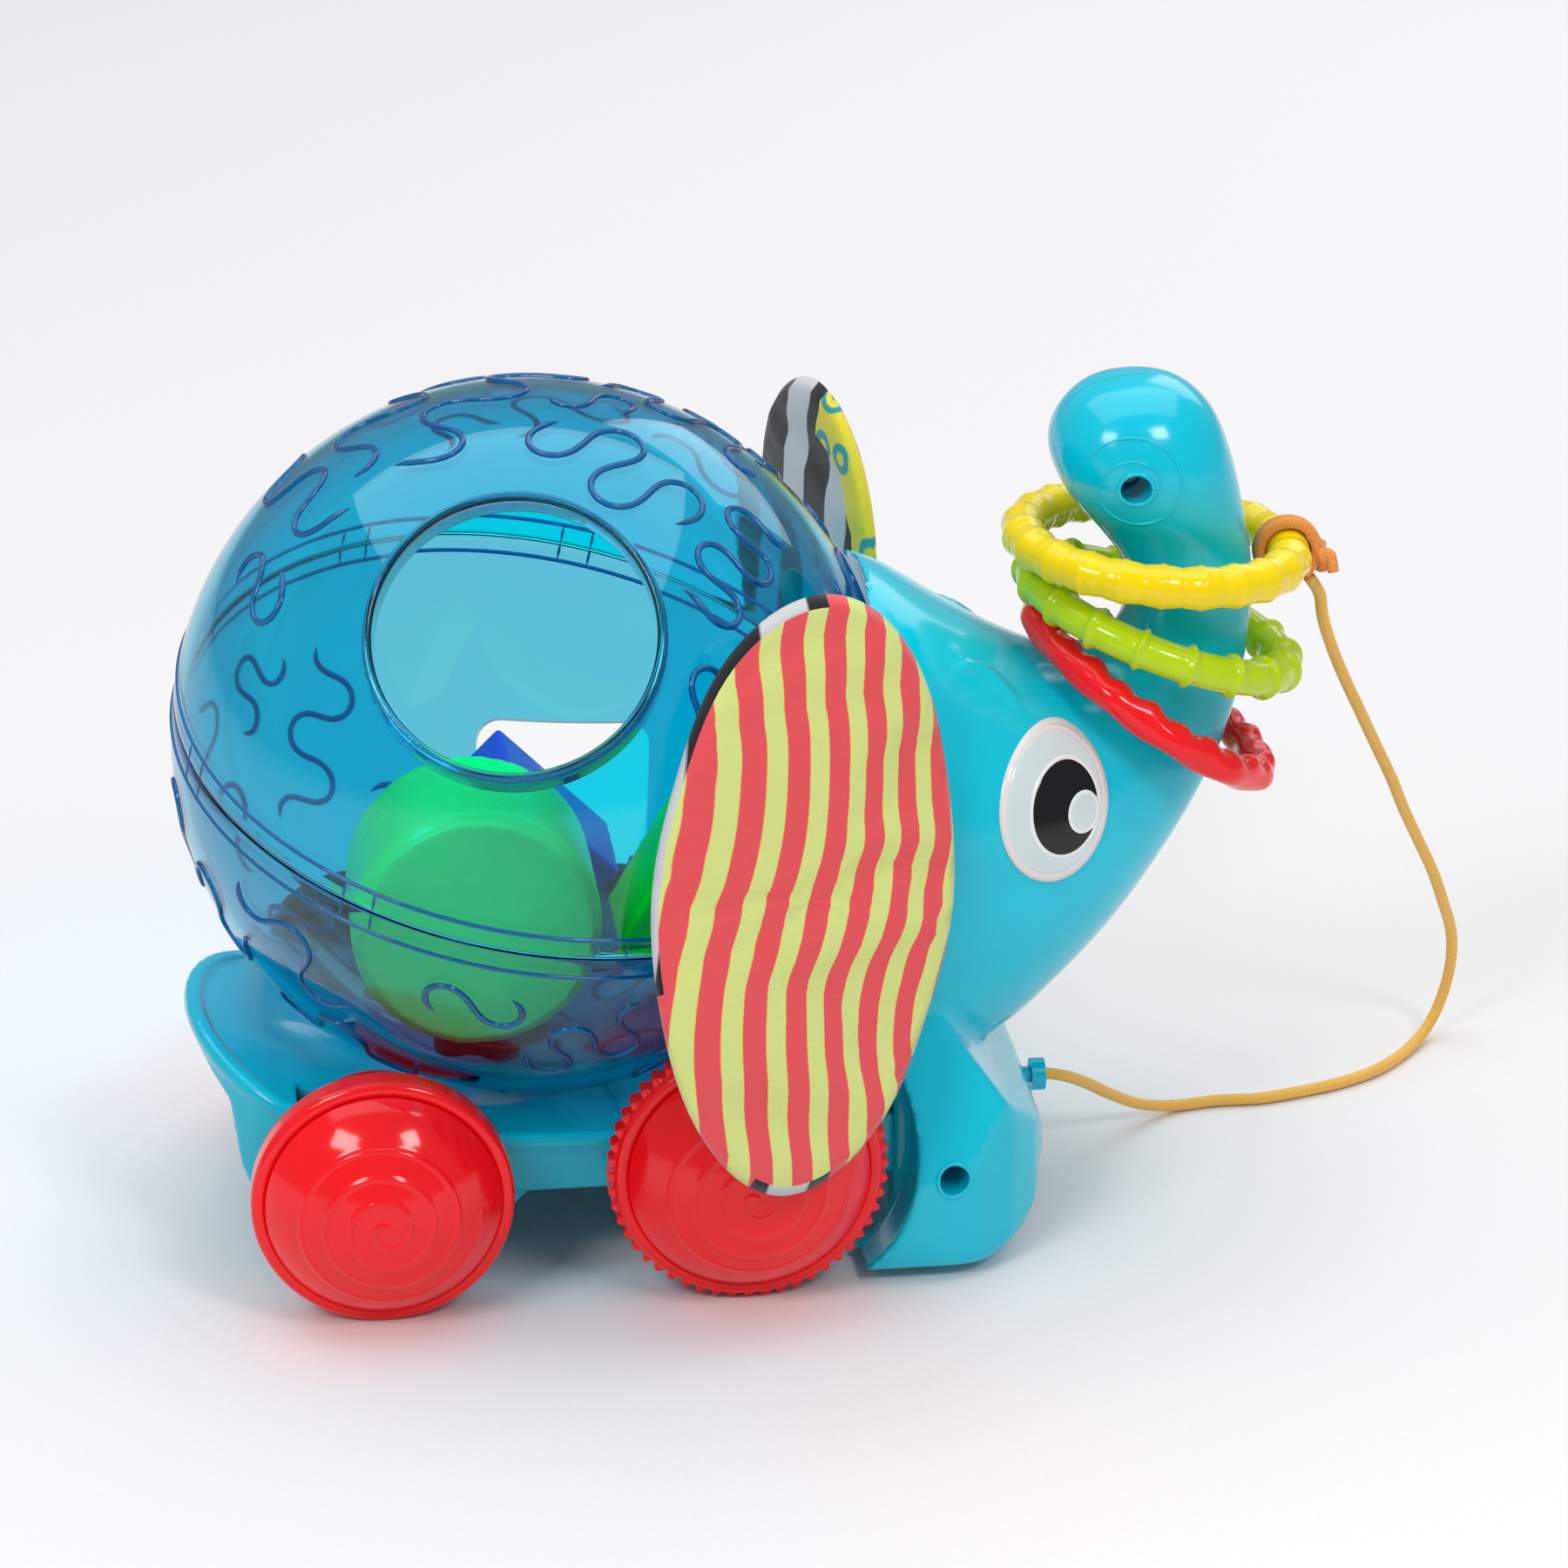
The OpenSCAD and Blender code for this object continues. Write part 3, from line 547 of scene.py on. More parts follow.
def knot_path(box):
    """An overhand knot that fills a box."""
    middle, half = (box[0] + box[1]) / 2, (box[1] - box[0]) / 2 * 0.72
    path = []
    for k in range(73):
        t = 2 * math.pi * k / 72 * 0.97
        path.append(middle + Vector((half.x * math.cos(3 * t) * 0.7,
                                     half.y * 0.5 * (math.sin(t) + 1.4 * math.sin(2 * t)),
                                     half.z * 0.5 * (math.cos(t) - 1.4 * math.cos(2 * t)))))
    return path


def make_ring_knot(yellow):
    """The cord's end: two turns round the yellow ring's tube, a hitch outside it, and a short melted tail."""
    centre, tilt, tube_r, ring_r = yellow
    ahead = Vector((math.cos(tilt), 0, -math.sin(tilt)))
    up = Vector((math.sin(tilt), 0, math.cos(tilt)))
    middle = centre + ahead * ring_r
    wrap_r = tube_r + CORD_R * 1.02
    wrapped = []
    for share in np.linspace(0, 1, 97):
        angle = -0.9 + 2 * math.pi * 2 * share
        wrapped.append(middle + (ahead * math.cos(angle) + up * math.sin(angle)) * wrap_r
                       + Vector((0, (share - 0.5) * 4.4 * MM, 0)))
    wraps = tube("ring_knot_wraps", wrapped, CORD_R * 0.92, relief=strands)
    hitch_at = middle + ahead * (wrap_r + 1.4 * MM) - up * 1.5 * MM
    loop = [hitch_at + Vector((0.6 * math.sin(2 * a), 3.2 * math.cos(a), 2.6 * math.sin(a))) * MM
            for a in np.linspace(0, 6.1, 48)]
    hitch = tube("ring_knot_hitch", loop, CORD_R * 0.9, relief=strands)
    end = [hitch_at + at_mm(*p) for p in ((0, 0, 0), (1.6, -3.2, 1.4), (2.2, -5.4, -2.4))]
    tail = tube("ring_knot_tail", smooth_path(end, 0.5 * MM), CORD_R * 0.9, relief=strands)
    knot = joined("ring_knot_braid", [wraps, hitch, tail])
    # The knot's braid has painted shade between its strands, in its second colour
    return place(knot, "ring_yellow", braid("knot_braid", (0.9, 0.36, 0.06), (0.6, 0.12, 0.02)), "cord_fabric",
                 ["ring_cord_knot"])


# ---------------------------------------------------------------- head, chest and legs

# The head's stations, from the ball's foremost point, in millimetres:
# top ahead, top up, bottom ahead, bottom up, half width
STATIONS = [(-12, 41, -8, -84, 52), (0, 36.5, 10, -84, 50.5), (15, 27, 25, -77, 46.5),
            (28, 19.5, 38, -66, 41.5), (39, 15, 52, -52, 35), (48, 15, 64, -37, 28), (54, 18, 74, -22, 21.5),
            (57, 24, 81, -8, 17.2), (58, 31, 85.5, 8, 15), (56, 39, 87.5, 25, 14.5), (50, 47, 87, 39, 16),
            (42.5, 56, 84.5, 52, 19.5), (38.5, 66, 81.5, 64, 21.7), (40.5, 74.5, 77, 75, 18.6),
            (47, 81, 70, 81.5, 12.5), (56, 83.4, 62, 83.6, 4.5)]
HEAD_X = (BALL.x + BALL_R) / MM
HEAD_Z = BALL.z / MM
CHEST_X = HEAD_X + 36
LEG_Y = 61
TRUNK_SCREW = (HEAD_X + 55.5, HEAD_Z + 62)
LEG_SCREW = (HEAD_X + 9, 26.5)
RECESS_R = 3.6


def station_ring(station, count=72):
    """A station's outline, drawn out a little between round and square."""
    top, bottom = Vector((station[0], 0, station[1])), Vector((station[2], 0, station[3]))
    middle, up = (top + bottom) / 2 + Vector((HEAD_X, 0, HEAD_Z)), (top - bottom) / 2
    ring = []
    for k in range(count):
        angle = 2 * math.pi * k / count
        high = math.copysign(abs(math.cos(angle)) ** 0.88, math.cos(angle))
        wide = math.copysign(abs(math.sin(angle)) ** 0.88, math.sin(angle))
        ring.append((middle + up * high + Vector((0, -station[4] * wide, 0))) * MM)
    return ring


def head_loft():
    stations = [np.array(s, float) for s in STATIONS]
    rings = []
    for i in range(len(stations) - 1):
        a, b, c, d = (stations[min(max(k, 0), len(stations) - 1)] for k in (i - 1, i, i + 1, i + 2))
        rings += [station_ring(spline(a, b, c, d, t / 5)) for t in range(5)]
    rings.append(station_ring(stations[-1]))
    return closed_loft("head", rings)


def chest():
    """Chest and both front legs, as the crossing of a side, a front and a plan outline."""
    side = [(HEAD_X - 46, 24), (HEAD_X - 16, 3), (CHEST_X - 18, 3), (CHEST_X - 8, 7), (CHEST_X - 2, 14),
            (CHEST_X, 22), (CHEST_X - 2.5, 31), (HEAD_X + 23, 42), (HEAD_X + 8, 62), (HEAD_X - 46, 62)]
    front = [(-36, 2), (-LEG_Y + 3, 2), (-LEG_Y, 10), (-LEG_Y + 1, 26), (-LEG_Y + 7, 42), (-LEG_Y + 16, 64)]
    front = [(-36, 17)] + front + [(-y, z) for y, z in reversed(front)] + [(36, 17)]
    plan = [(HEAD_X - 47, -LEG_Y), (CHEST_X - 34, -LEG_Y), (CHEST_X - 21, -LEG_Y + 3),
            (CHEST_X - 12, -LEG_Y + 9), (CHEST_X - 5, -LEG_Y + 18), (CHEST_X - 1, -30), (CHEST_X, -16)]
    plan += [(x, -y) for x, y in reversed(plan)]
    block = prism("chest", side, (0, 2, 1), -LEG_Y - 2, LEG_Y + 2)
    combine(block, prism("chest_front", front, (1, 2, 0), HEAD_X - 50, HEAD_X + 50), "INTERSECT")
    combine(block, prism("chest_plan", plan, (0, 1, 2), 0, 70), "INTERSECT")
    return block


def ball_shape(radius, name):
    """A fine ball, to cut with."""
    profile = [(radius * math.sin(math.pi * k / 96), radius * math.cos(math.pi * k / 96)) for k in range(1, 96)]
    return lathe(name, profile, 192, BALL)


def bar(name, radius, start, end, segments=64):
    """A straight round bar between two points, to cut or join with."""
    axis = end - start
    turn = axis.to_track_quat("Z", "Y").to_matrix()
    return lathe(name, [(radius, 0), (radius, axis.length)], segments, start, turn)


def spiral_line(name, centre, skin, start_r, end_r, turns, radius, sign):
    """A thin raised spiral on a skin, round a centre on its side."""
    path = []
    count = int(60 * turns)
    for k in range(count + 1):
        share = k / count
        angle = 2 * math.pi * turns * share - 1.2
        r = start_r + (end_r - start_r) * share
        start = at_mm(centre[0] + r * math.cos(angle), sign * 200, centre[1] + r * math.sin(angle))
        hit = skin.ray_cast(start, Vector((0, -sign, 0)))[0]
        if hit is not None:
            path.append(hit)
    return tube(name, path, lambda t: radius * min(1, 8 * t + 0.2, 8 * (1 - t) + 0.2), sides=8)


def brow(surface, sign):
    """A raised crease over an eye, most of it sunk in the head."""
    crease = []
    for x, z in ((11, 21), (15, 21.5), (20, 19.5), (25, 15.5), (29, 11)):
        hit, normal = surface.ray_cast(at_mm(HEAD_X + x, sign * 200, HEAD_Z + z), Vector((0, -sign, 0)))[:2]
        crease.append(hit - normal * 1.1 * MM)
    return tube("brow", smooth_path(crease, 1 * MM),
                lambda t: 2.6 * MM * math.sin(math.pi * (0.12 + 0.76 * t)), sides=16)


def make_head():
    """One smooth head with its chest and legs, cut for the ball, the wheels and the cradle, then split."""
    head = head_loft()
    combine(head, chest(), "UNION")
    remesh(head, 1.25 * MM, 10)
    surface = BVHTree.FromObject(head, bpy.context.evaluated_depsgraph_get())
    for sign in SIDES.values():
        combine(head, brow(surface, sign), "UNION")
    combine(head, ball_shape(BALL_R + 3 * MM, "hollow_back"), "DIFFERENCE")
    arch_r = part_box("front_wheel_dome_right")[1].z / 2 + 7.5 * MM
    for sign in SIDES.values():
        combine(head, bar("arch", arch_r, Vector((FRONT.x, sign * 45.4 * MM, FRONT.z)),
                          Vector((FRONT.x, sign * 70 * MM, FRONT.z)), 128), "DIFFERENCE")
    combine(head, prism("cradle_room", [(-45.4, -1), (45.4, -1), (45.4, 45), (-45.4, 45)], (1, 2, 0),
                        HEAD_X - 62, HEAD_X - 3.6), "DIFFERENCE")
    remesh(head, 0.95 * MM, 5)
    skin = BVHTree.FromObject(head, bpy.context.evaluated_depsgraph_get())
    cyan = plastic("head_cyan", CYAN)
    # Painted shade: a dark cyan for the thin disc that closes the leg's screw recess
    painted_shade_plastic = plastic("recess_shade", (0.0, 0.16, 0.24), roughness=0.4, coat=0)
    for side, sign in SIDES.items():
        half = head.copy()
        half.data = head.data.copy()
        half.name = "head_skin_" + side
        bpy.context.scene.collection.objects.link(half)
        keep = [(0.12, -5), (120, -5), (120, 230), (0.12, 230)]
        combine(half, prism("half_space", [(sign * y, z) for y, z in keep], (1, 2, 0), -60, 160), "INTERSECT")
        if side == "right":
            for x, z in (TRUNK_SCREW, LEG_SCREW):
                combine(half, bar("recess", RECESS_R * MM, at_mm(x, -80, z), at_mm(x, -5, z)), "DIFFERENCE")
        combine(half, bar("cord_hole", CORD_R + 0.6 * MM, at_mm(CHEST_X - 8, 0, 25), at_mm(CHEST_X + 4, 0, 25)),
                "DIFFERENCE")
        half.data.shade_smooth()
        half.data.set_sharp_from_angle(angle=math.radians(50))
        trims = [spiral_line("trunk_spiral", TRUNK_SCREW, skin, 4.5, 13.5, 1.75, 0.35 * MM, sign)]
        if side == "right":
            trims += [recess_rim(x, z, skin) for x, z in (TRUNK_SCREW, LEG_SCREW)]
        trim = joined("head_trim_" + side, trims)
        place(trim, "chassis", cyan, "head_plastic")
        place(half, "chassis", cyan, "head_plastic", ["head_shell_" + side])
    discard(head)
    # The leg recess ends in a thin dark disc above its screw: painted shade, standing in for the shade at the
    # recess's bottom
    x, z = LEG_SCREW
    shade = bar("recess_painted_shade_disc", (RECESS_R - 0.05) * MM, at_mm(x, -12, z), at_mm(x, -11, z))
    place(shade, "chassis", painted_shade_plastic, "head_plastic")
    return skin


def recess_rim(x, z, skin):
    """The small rounded lip round a screw recess, on the right-hand side."""
    path = []
    for k in range(49):
        angle = 2 * math.pi * k / 48
        start = at_mm(x + (RECESS_R + 0.4) * math.cos(angle), -200, z + (RECESS_R + 0.4) * math.sin(angle))
        path.append(skin.ray_cast(start, Vector((0, 1, 0)))[0])
    return tube("recess_rim", path, 0.55 * MM, sides=10)


# ---------------------------------------------------------------- eyes

def oval_patch(name, skin, centre, half, lift, sign, material, turn=0.0, thickness=0.25 * MM):
    """An oval plate laid on the head's side. lift is its upper face's height over the skin."""
    rows, columns = 10, 64
    rings = []
    for face in (lift, lift - thickness):
        order = range(rows + 1) if face == lift else range(rows, -1, -1)
        for i in order:
            share = i / rows
            ring = []
            for j in range(columns):
                angle = 2 * math.pi * j / columns
                a, b = half[0] * share * math.cos(angle), half[1] * share * math.sin(angle)
                x = centre[0] + a * math.cos(turn) - b * math.sin(turn)
                z = centre[1] + a * math.sin(turn) + b * math.cos(turn)
                hit, normal = skin.ray_cast(at_mm(x, sign * 200, z), Vector((0, -sign, 0)))[:2]
                edge = 0.12 * MM if share == 1 and face == lift else 0
                ring.append(hit + normal * (face - edge))
            rings.append(ring)
    piece = closed_loft(name, rings)
    return place(piece, "chassis", material, "eye_plastic")


def make_eyes(skin):
    pale = plastic("eye_pale", (0.66, 0.75, 0.76), roughness=0.12)
    border = plastic("eye_border", (0.82, 0.76, 0.76), roughness=0.12)
    black = plastic("eye_black", (0.006, 0.005, 0.006), roughness=0.1)
    white = plastic("eye_white", (0.85, 0.87, 0.87), roughness=0.12)
    eye = (HEAD_X + 34.5, HEAD_Z - 9)
    pupil = (eye[0] + 2.6, eye[1] - 1)
    glint = (pupil[0] + 4.6, pupil[1] - 1.6)
    for side, sign in SIDES.items():
        plate = oval_patch("eye_border_" + side, skin, eye, (13.8, 17.6), 0.5 * MM, sign, border, 0.08,
                           thickness=0.7 * MM)
        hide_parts("eye_" + side)
        oval_patch("eye_pale_" + side, skin, eye, (12.9, 16.6), 0.56 * MM, sign, pale, 0.08)
        oval_patch("pupil_ring_" + side, skin, pupil, (9.6, 11.9), 0.62 * MM, sign, white, 0.05)
        oval_patch("pupil_" + side, skin, pupil, (8.7, 11.0), 0.68 * MM, sign, black, 0.05)
        oval_patch("glint_ring_" + side, skin, glint, (4.2, 5.1), 0.74 * MM, sign, white)
        oval_patch("glint_" + side, skin, glint, (3.4, 4.3), 0.8 * MM, sign, pale)


# ---------------------------------------------------------------- cradle

# The cradle's upper edge from the tail's tip forwards, as (x, z) in millimetres
CRADLE_TOP = [(-134, 58), (-127, 54.5), (-113, 47), (-99, 40.5), (-77, 36.5), (-50.5, 35.8), (-6, 35.8),
              (26, 37.2)]


def cradle_rim():
    """The rolled rim along the cradle's upper edge: down one side, round the tail and back."""
    half_w, tail, inset = 45, 27, 1.6
    tip_x = CRADLE_TOP[0][0]
    plan = [(26, half_w - inset), (-6, half_w - inset), (-50, half_w - inset), (-90, half_w - inset)]
    plan = [(x, -y) for x, y in plan]
    plan += [(tip_x + tail + (tail - inset) * math.cos(a), (half_w - inset) * math.sin(a))
             for a in np.linspace(1.5 * math.pi, 0.5 * math.pi, 25)]
    plan += [(x, -y) for x, y in reversed(plan[:4])]
    xs, zs = [p[0] for p in CRADLE_TOP], [p[1] for p in CRADLE_TOP]
    path = [at_mm(x, y, float(np.interp(x, xs, zs)) - 0.9) for x, y in plan]
    return tube("cradle_rim", smooth_path(path, 1.5 * MM), 2.3 * MM, sides=16)


def softened(name, node, voxel, rounds, extra=()):
    """A CAD node's own shape with its edges rounded and its facets gone, and extra bodies grown onto it."""
    piece = make_mesh(name, [], [])
    piece.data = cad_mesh(node)
    for body in extra:
        combine(piece, body, "UNION")
    remesh(piece, voxel, rounds)
    return piece


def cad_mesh(node):
    """A copy of a CAD node's mesh, welded and without its materials."""
    mesh = bmesh.new()
    mesh.from_mesh(frame["nodes"][node].data)
    bmesh.ops.remove_doubles(mesh, verts=mesh.verts, dist=1e-6)
    data = bpy.data.meshes.new(node + "_copy")
    mesh.to_mesh(data)
    mesh.free()
    return data


def make_cradle():
    teal = plastic("cradle_teal", (0.0, 0.47, 0.62))
    cradle = softened("cradle_skin", "cradle", 0.8 * MM, 4, [cradle_rim()])
    place(cradle, "chassis", teal, "cradle_plastic", ["cradle"])
    tray = softened("belly_tray_skin", "belly_tray", 0.8 * MM, 3)
    place(tray, "chassis", teal, "cradle_plastic", ["belly_tray"])


# ---------------------------------------------------------------- wheels

def arc(centre, radius, start, end, count):
    """Points on an arc, between two angles in degrees."""
    return [(centre[0] + radius * math.cos(math.radians(a)), centre[1] + radius * math.sin(math.radians(a)))
            for a in np.linspace(start, end, count)]


def spiral_height(radius, angle, pitch=5.6 * MM, turns=3.6, height=0.45 * MM, width=0.55 * MM):
    """The height of a raised spiral line at a place on a wheel's dome."""
    share = radius / pitch - angle / (2 * math.pi)
    arm = round(share)
    if arm < 0 or share > turns:
        return 0
    return height * math.exp(-((share - arm) * pitch / width) ** 2)


def make_wheel(axle, end, side, radius, teeth):
    """A domed wheel: stepped rim, raised lip and a spiral on the dome. The front wheels have teeth."""
    inner_y, wide, dome_h = 52 * MM, 11 * MM, 16 * MM
    body_r = radius - (1.6 * MM if teeth else 0)
    rise = inner_y + wide - 1 * MM
    cap_r = ((body_r - 2 * MM) ** 2 + dome_h ** 2) / (2 * dome_h)
    flat = math.degrees(math.asin((body_r - 3.2 * MM) / cap_r))
    dome = arc((0, rise + dome_h - cap_r), cap_r, 89.6, 90 - flat, 84)
    lip = arc((body_r - 1.9 * MM, rise - 0.6 * MM), 1.9 * MM, 150, 0, 14)
    rim_top = rise - 0.6 * MM
    step_y = inner_y + 4 * MM
    tread = [(body_r, y) for y in np.linspace(rim_top - 0.4 * MM, step_y + 0.4 * MM, 8)]
    step = [(body_r - 0.5 * MM, step_y), (body_r - 2 * MM, step_y - 0.3 * MM)]
    step += [(body_r - r * MM, inner_y + y * MM)
             for r, y in ((2.2, 0.4), (2.6, 0), (4, 0), (4.4, 0.5), (4.4, 6))]
    step.append((2 * MM, inner_y + 6 * MM))
    profile = dome + lip + tread + step
    first_tread, last_tread = len(dome) + len(lip), len(dome) + len(lip) + len(tread)

    def shape(r, h, angle, index):
        if index < len(dome):
            return r, h + spiral_height(r, angle if side == "right" else 2 * math.pi - angle)
        if teeth and first_tread <= index < last_tread:
            wave = 0.5 + 0.5 * math.cos(teeth * angle)
            return r + 1.6 * MM * wave ** 0.8, h
        return r, h

    sign = SIDES[side]
    turn = Matrix.Rotation(-sign * math.pi / 2, 3, "X")
    around = 6 * teeth if teeth else 240
    return lathe(f"{end}_wheel_{side}", profile, around, Vector((axle.x, 0, axle.z)), turn, shape, sharp=60)


def make_wheels():
    red = plastic("wheel_red", (0.93, 0.006, 0.01), roughness=0.12)
    for end, axle, teeth in (("rear", REAR, 0), ("front", FRONT, 52)):
        body = end + "_wheels"
        for side in SIDES:
            node = f"{end}_wheel_dome_{side}"
            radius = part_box(node)[1].z / 2
            place(make_wheel(axle, end, side, radius, teeth), body, red, "red_plastic", [node])
            repaint(f"{end}_wheel_back_{side}", red)
    for side in SIDES:
        repaint("drive_roller_" + side, red)


def repaint(node, material):
    """A CAD node whose shape is right gets its finish."""
    mesh = frame["nodes"][node].data
    mesh.materials.clear()
    mesh.materials.append(material)
    mesh.set_sharp_from_angle(angle=math.radians(35))


# ---------------------------------------------------------------- ball

SHELL_T = 2.4 * MM
HOLE_R = 31.8 * MM
COLLAR_T = 2 * MM
HOLE_RISE = math.sqrt(BALL_R ** 2 - (HOLE_R + COLLAR_T) ** 2)


def shell(name, up):
    """Half of the ball's wall, with rounded edges at the seam."""
    gap, inner = 0.15 * MM, BALL_R - SHELL_T
    first = math.asin(gap / BALL_R)
    pole = math.pi / 2 - 0.004
    outer_arc = [(BALL_R * math.cos(a), BALL_R * math.sin(a)) for a in np.linspace(pole, first + 0.006, 76)]
    inner_arc = [(inner * math.cos(a), inner * math.sin(a)) for a in np.linspace(first + 0.004, pole, 76)]
    edge = [(BALL_R - 0.25 * MM, gap + 0.05 * MM), (inner + 0.25 * MM, gap)]
    profile = [(r, h if up else -h) for r, h in outer_arc + edge + inner_arc]
    return lathe(name, profile, 200, BALL, aim(SEAM), sharp=40)


def hole_cutter(name, direction, outline, corner):
    """A prism with rounded corners through the ball's wall. outline is in millimetres."""
    points = rounded(outline, corner)
    turn = aim(direction)
    rings = [[BALL + turn @ Vector((a * MM, b * MM, depth)) for a, b in points] for depth in (45 * MM, 95 * MM)]
    return closed_loft(name, rings)


def rounded(outline, radius, count=7):
    """A convex outline of corners, each rounded by arcs of the given radius."""
    points = []
    for i, corner in enumerate(outline):
        here = Vector(corner)
        before, after = Vector(outline[i - 1]), Vector(outline[(i + 1) % len(outline)])
        to_a, to_b = (before - here).normalized(), (after - here).normalized()
        half = to_a.angle(to_b) / 2
        middle = here + (to_a + to_b).normalized() * radius / math.sin(half)
        start, end = here + to_a * radius / math.tan(half), here + to_b * radius / math.tan(half)
        first, last = (start - middle), (end - middle)
        turn = math.atan2(first.x * last.y - first.y * last.x, first.dot(last))
        for k in range(count):
            angle = math.atan2(first.y, first.x) + turn * k / (count - 1)
            points.append((middle.x + radius * math.cos(angle), middle.y + radius * math.sin(angle)))
    return points


def square_outline(side):
    return [(-side / 2, -side / 2), (side / 2, -side / 2), (side / 2, side / 2), (-side / 2, side / 2)]


def triangle_outline(side):
    return [(side / math.sqrt(3) * math.cos(math.radians(a)), side / math.sqrt(3) * math.sin(math.radians(a)))
            for a in (90, 210, 330)]


def ridge(name, directions, width=1.9 * MM, height=0.9 * MM, ends=True):
    """A raised line on the ball's skin, half round, through unit directions. Its ends taper into the skin."""
    count, sides = len(directions), 10
    rings = []
    for i, here in enumerate(directions):
        ahead = (directions[min(i + 1, count - 1)] - directions[max(i - 1, 0)]).normalized()
        side = here.cross(ahead).normalized()
        share = min(i, count - 1 - i) / 4 if ends else 1
        grow = max(0.15, min(1, share) ** 0.6)
        ring = []
        for k in range(sides):
            angle = 2 * math.pi * k / sides
            across = math.cos(angle) * width / 2 * grow
            up = (math.sin(angle) * height - 0.15 * MM) * grow
            ring.append(BALL + (here * (BALL_R + up) + side * across))
        rings.append(ring)
    return closed_loft(name, rings)


def meander(centre, heading, bend, wave, length, phase):
    """Unit directions along a winding line that passes over a centre on the ball. bend is how far its
    heading swings, in radians, and wave the length of one full winding."""
    first = centre.orthogonal().normalized()
    second = centre.cross(first)
    step = 0.9 * MM
    x = y = 0.0
    points = []
    for k in range(int(length / step) + 1):
        points.append((x, y))
        angle = heading + bend * math.sin(2 * math.pi * k * step / wave + phase)
        x, y = x + step * math.cos(angle), y + step * math.sin(angle)
    mid_x, mid_y = sum(p[0] for p in points) / len(points), sum(p[1] for p in points) / len(points)
    return [(centre + (first * (x - mid_x) + second * (y - mid_y)) / BALL_R).normalized() for x, y in points]


def own_gap(spots):
    """How near a line comes to itself, leaving out the dozen points on each side of each point."""
    order = np.arange(len(spots))
    neighbours = np.abs(np.subtract.outer(order, order)) < 12
    return (np.linalg.norm(spots[:, None] - spots[None], axis=2) + 1e3 * neighbours).min()


def relief_lines(up):
    """The ball's raised outlines: winding lines spread over a half, clear of the belt, the holes and each
    other. Each place gets the first of several tries that has room, and the later tries are half as long."""
    rng = random.Random(5 if up else 8)
    holes = [(ROUND_HOLE, (HOLE_R + COLLAR_T + 3.5 * MM) / BALL_R)]
    if not up:
        plain = Vector((0.12, 0.99, -0.11)).normalized()  # seen through the round hole
        holes = [(SQUARE_HOLE, 36 * MM / BALL_R), (TRIANGLE_HOLE, 33 * MM / BALL_R), (plain, 40 * MM / BALL_R)]
    belt_room, room, own_room = (28 if up else 14) * MM, (5.5 if up else 9) * MM, 6.5 * MM
    total, golden = 120, math.pi * (3 - math.sqrt(5))
    turn, seam = aim(SEAM), np.array(tuple(SEAM))
    taken = np.zeros((0, 3))
    lines = []
    for k in range(total):
        height = 1 - 2 * (k + 0.5) / total
        if (height > 0) != up:
            continue
        around = math.sqrt(1 - height * height)
        centre = turn @ Vector((around * math.cos(golden * k), around * math.sin(golden * k), height))
        for attempt in range(14):
            length = rng.uniform(80, 150) * MM * (1 if attempt < 7 else 0.5)
            path = meander(centre, rng.uniform(0, 6.28), rng.uniform(1.25, 1.95), rng.uniform(42, 62) * MM,
                           length, rng.uniform(0, 6.28))
            spots = np.array([tuple(p) for p in path])
            clear_of_belt = np.abs(spots @ seam).min() > belt_room / BALL_R
            clear_of_holes = all((spots @ np.array(tuple(hole))).max() < math.cos(wide) for hole, wide in holes)
            apart = not len(taken) or (spots @ taken.T).max() < math.cos(room / BALL_R)
            if clear_of_belt and clear_of_holes and apart and own_gap(spots) > own_room / BALL_R:
                taken = np.vstack([taken, spots])
                lines.append(ridge("relief", path, width=1.6 * MM))
                break
    return lines


def belt_lines(up):
    """One edge of the belt round the seam, and the short ribs that cross its half."""
    turn = aim(SEAM)
    edge = 5.4 * MM / BALL_R * (1 if up else -1)
    near = 0.35 * MM / BALL_R * (1 if up else -1)
    around = math.sqrt(1 - edge * edge)
    circle = [turn @ Vector((around * math.cos(a), around * math.sin(a), edge))
              for a in np.linspace(0, 2 * math.pi, 181)]
    lines = [ridge("belt_edge", circle, width=1.1 * MM, height=0.6 * MM, ends=False)]
    for k in range(9):
        for offset in (-0.045, 0.045):
            a = 2 * math.pi * k / 9 + offset + 0.3
            rib = [turn @ Vector((math.cos(a), math.sin(a), h)).normalized()
                   for h in np.linspace(near, edge * 0.97, 8)]
            lines.append(ridge("belt_rib", rib, width=0.9 * MM, height=0.45 * MM))
    return lines


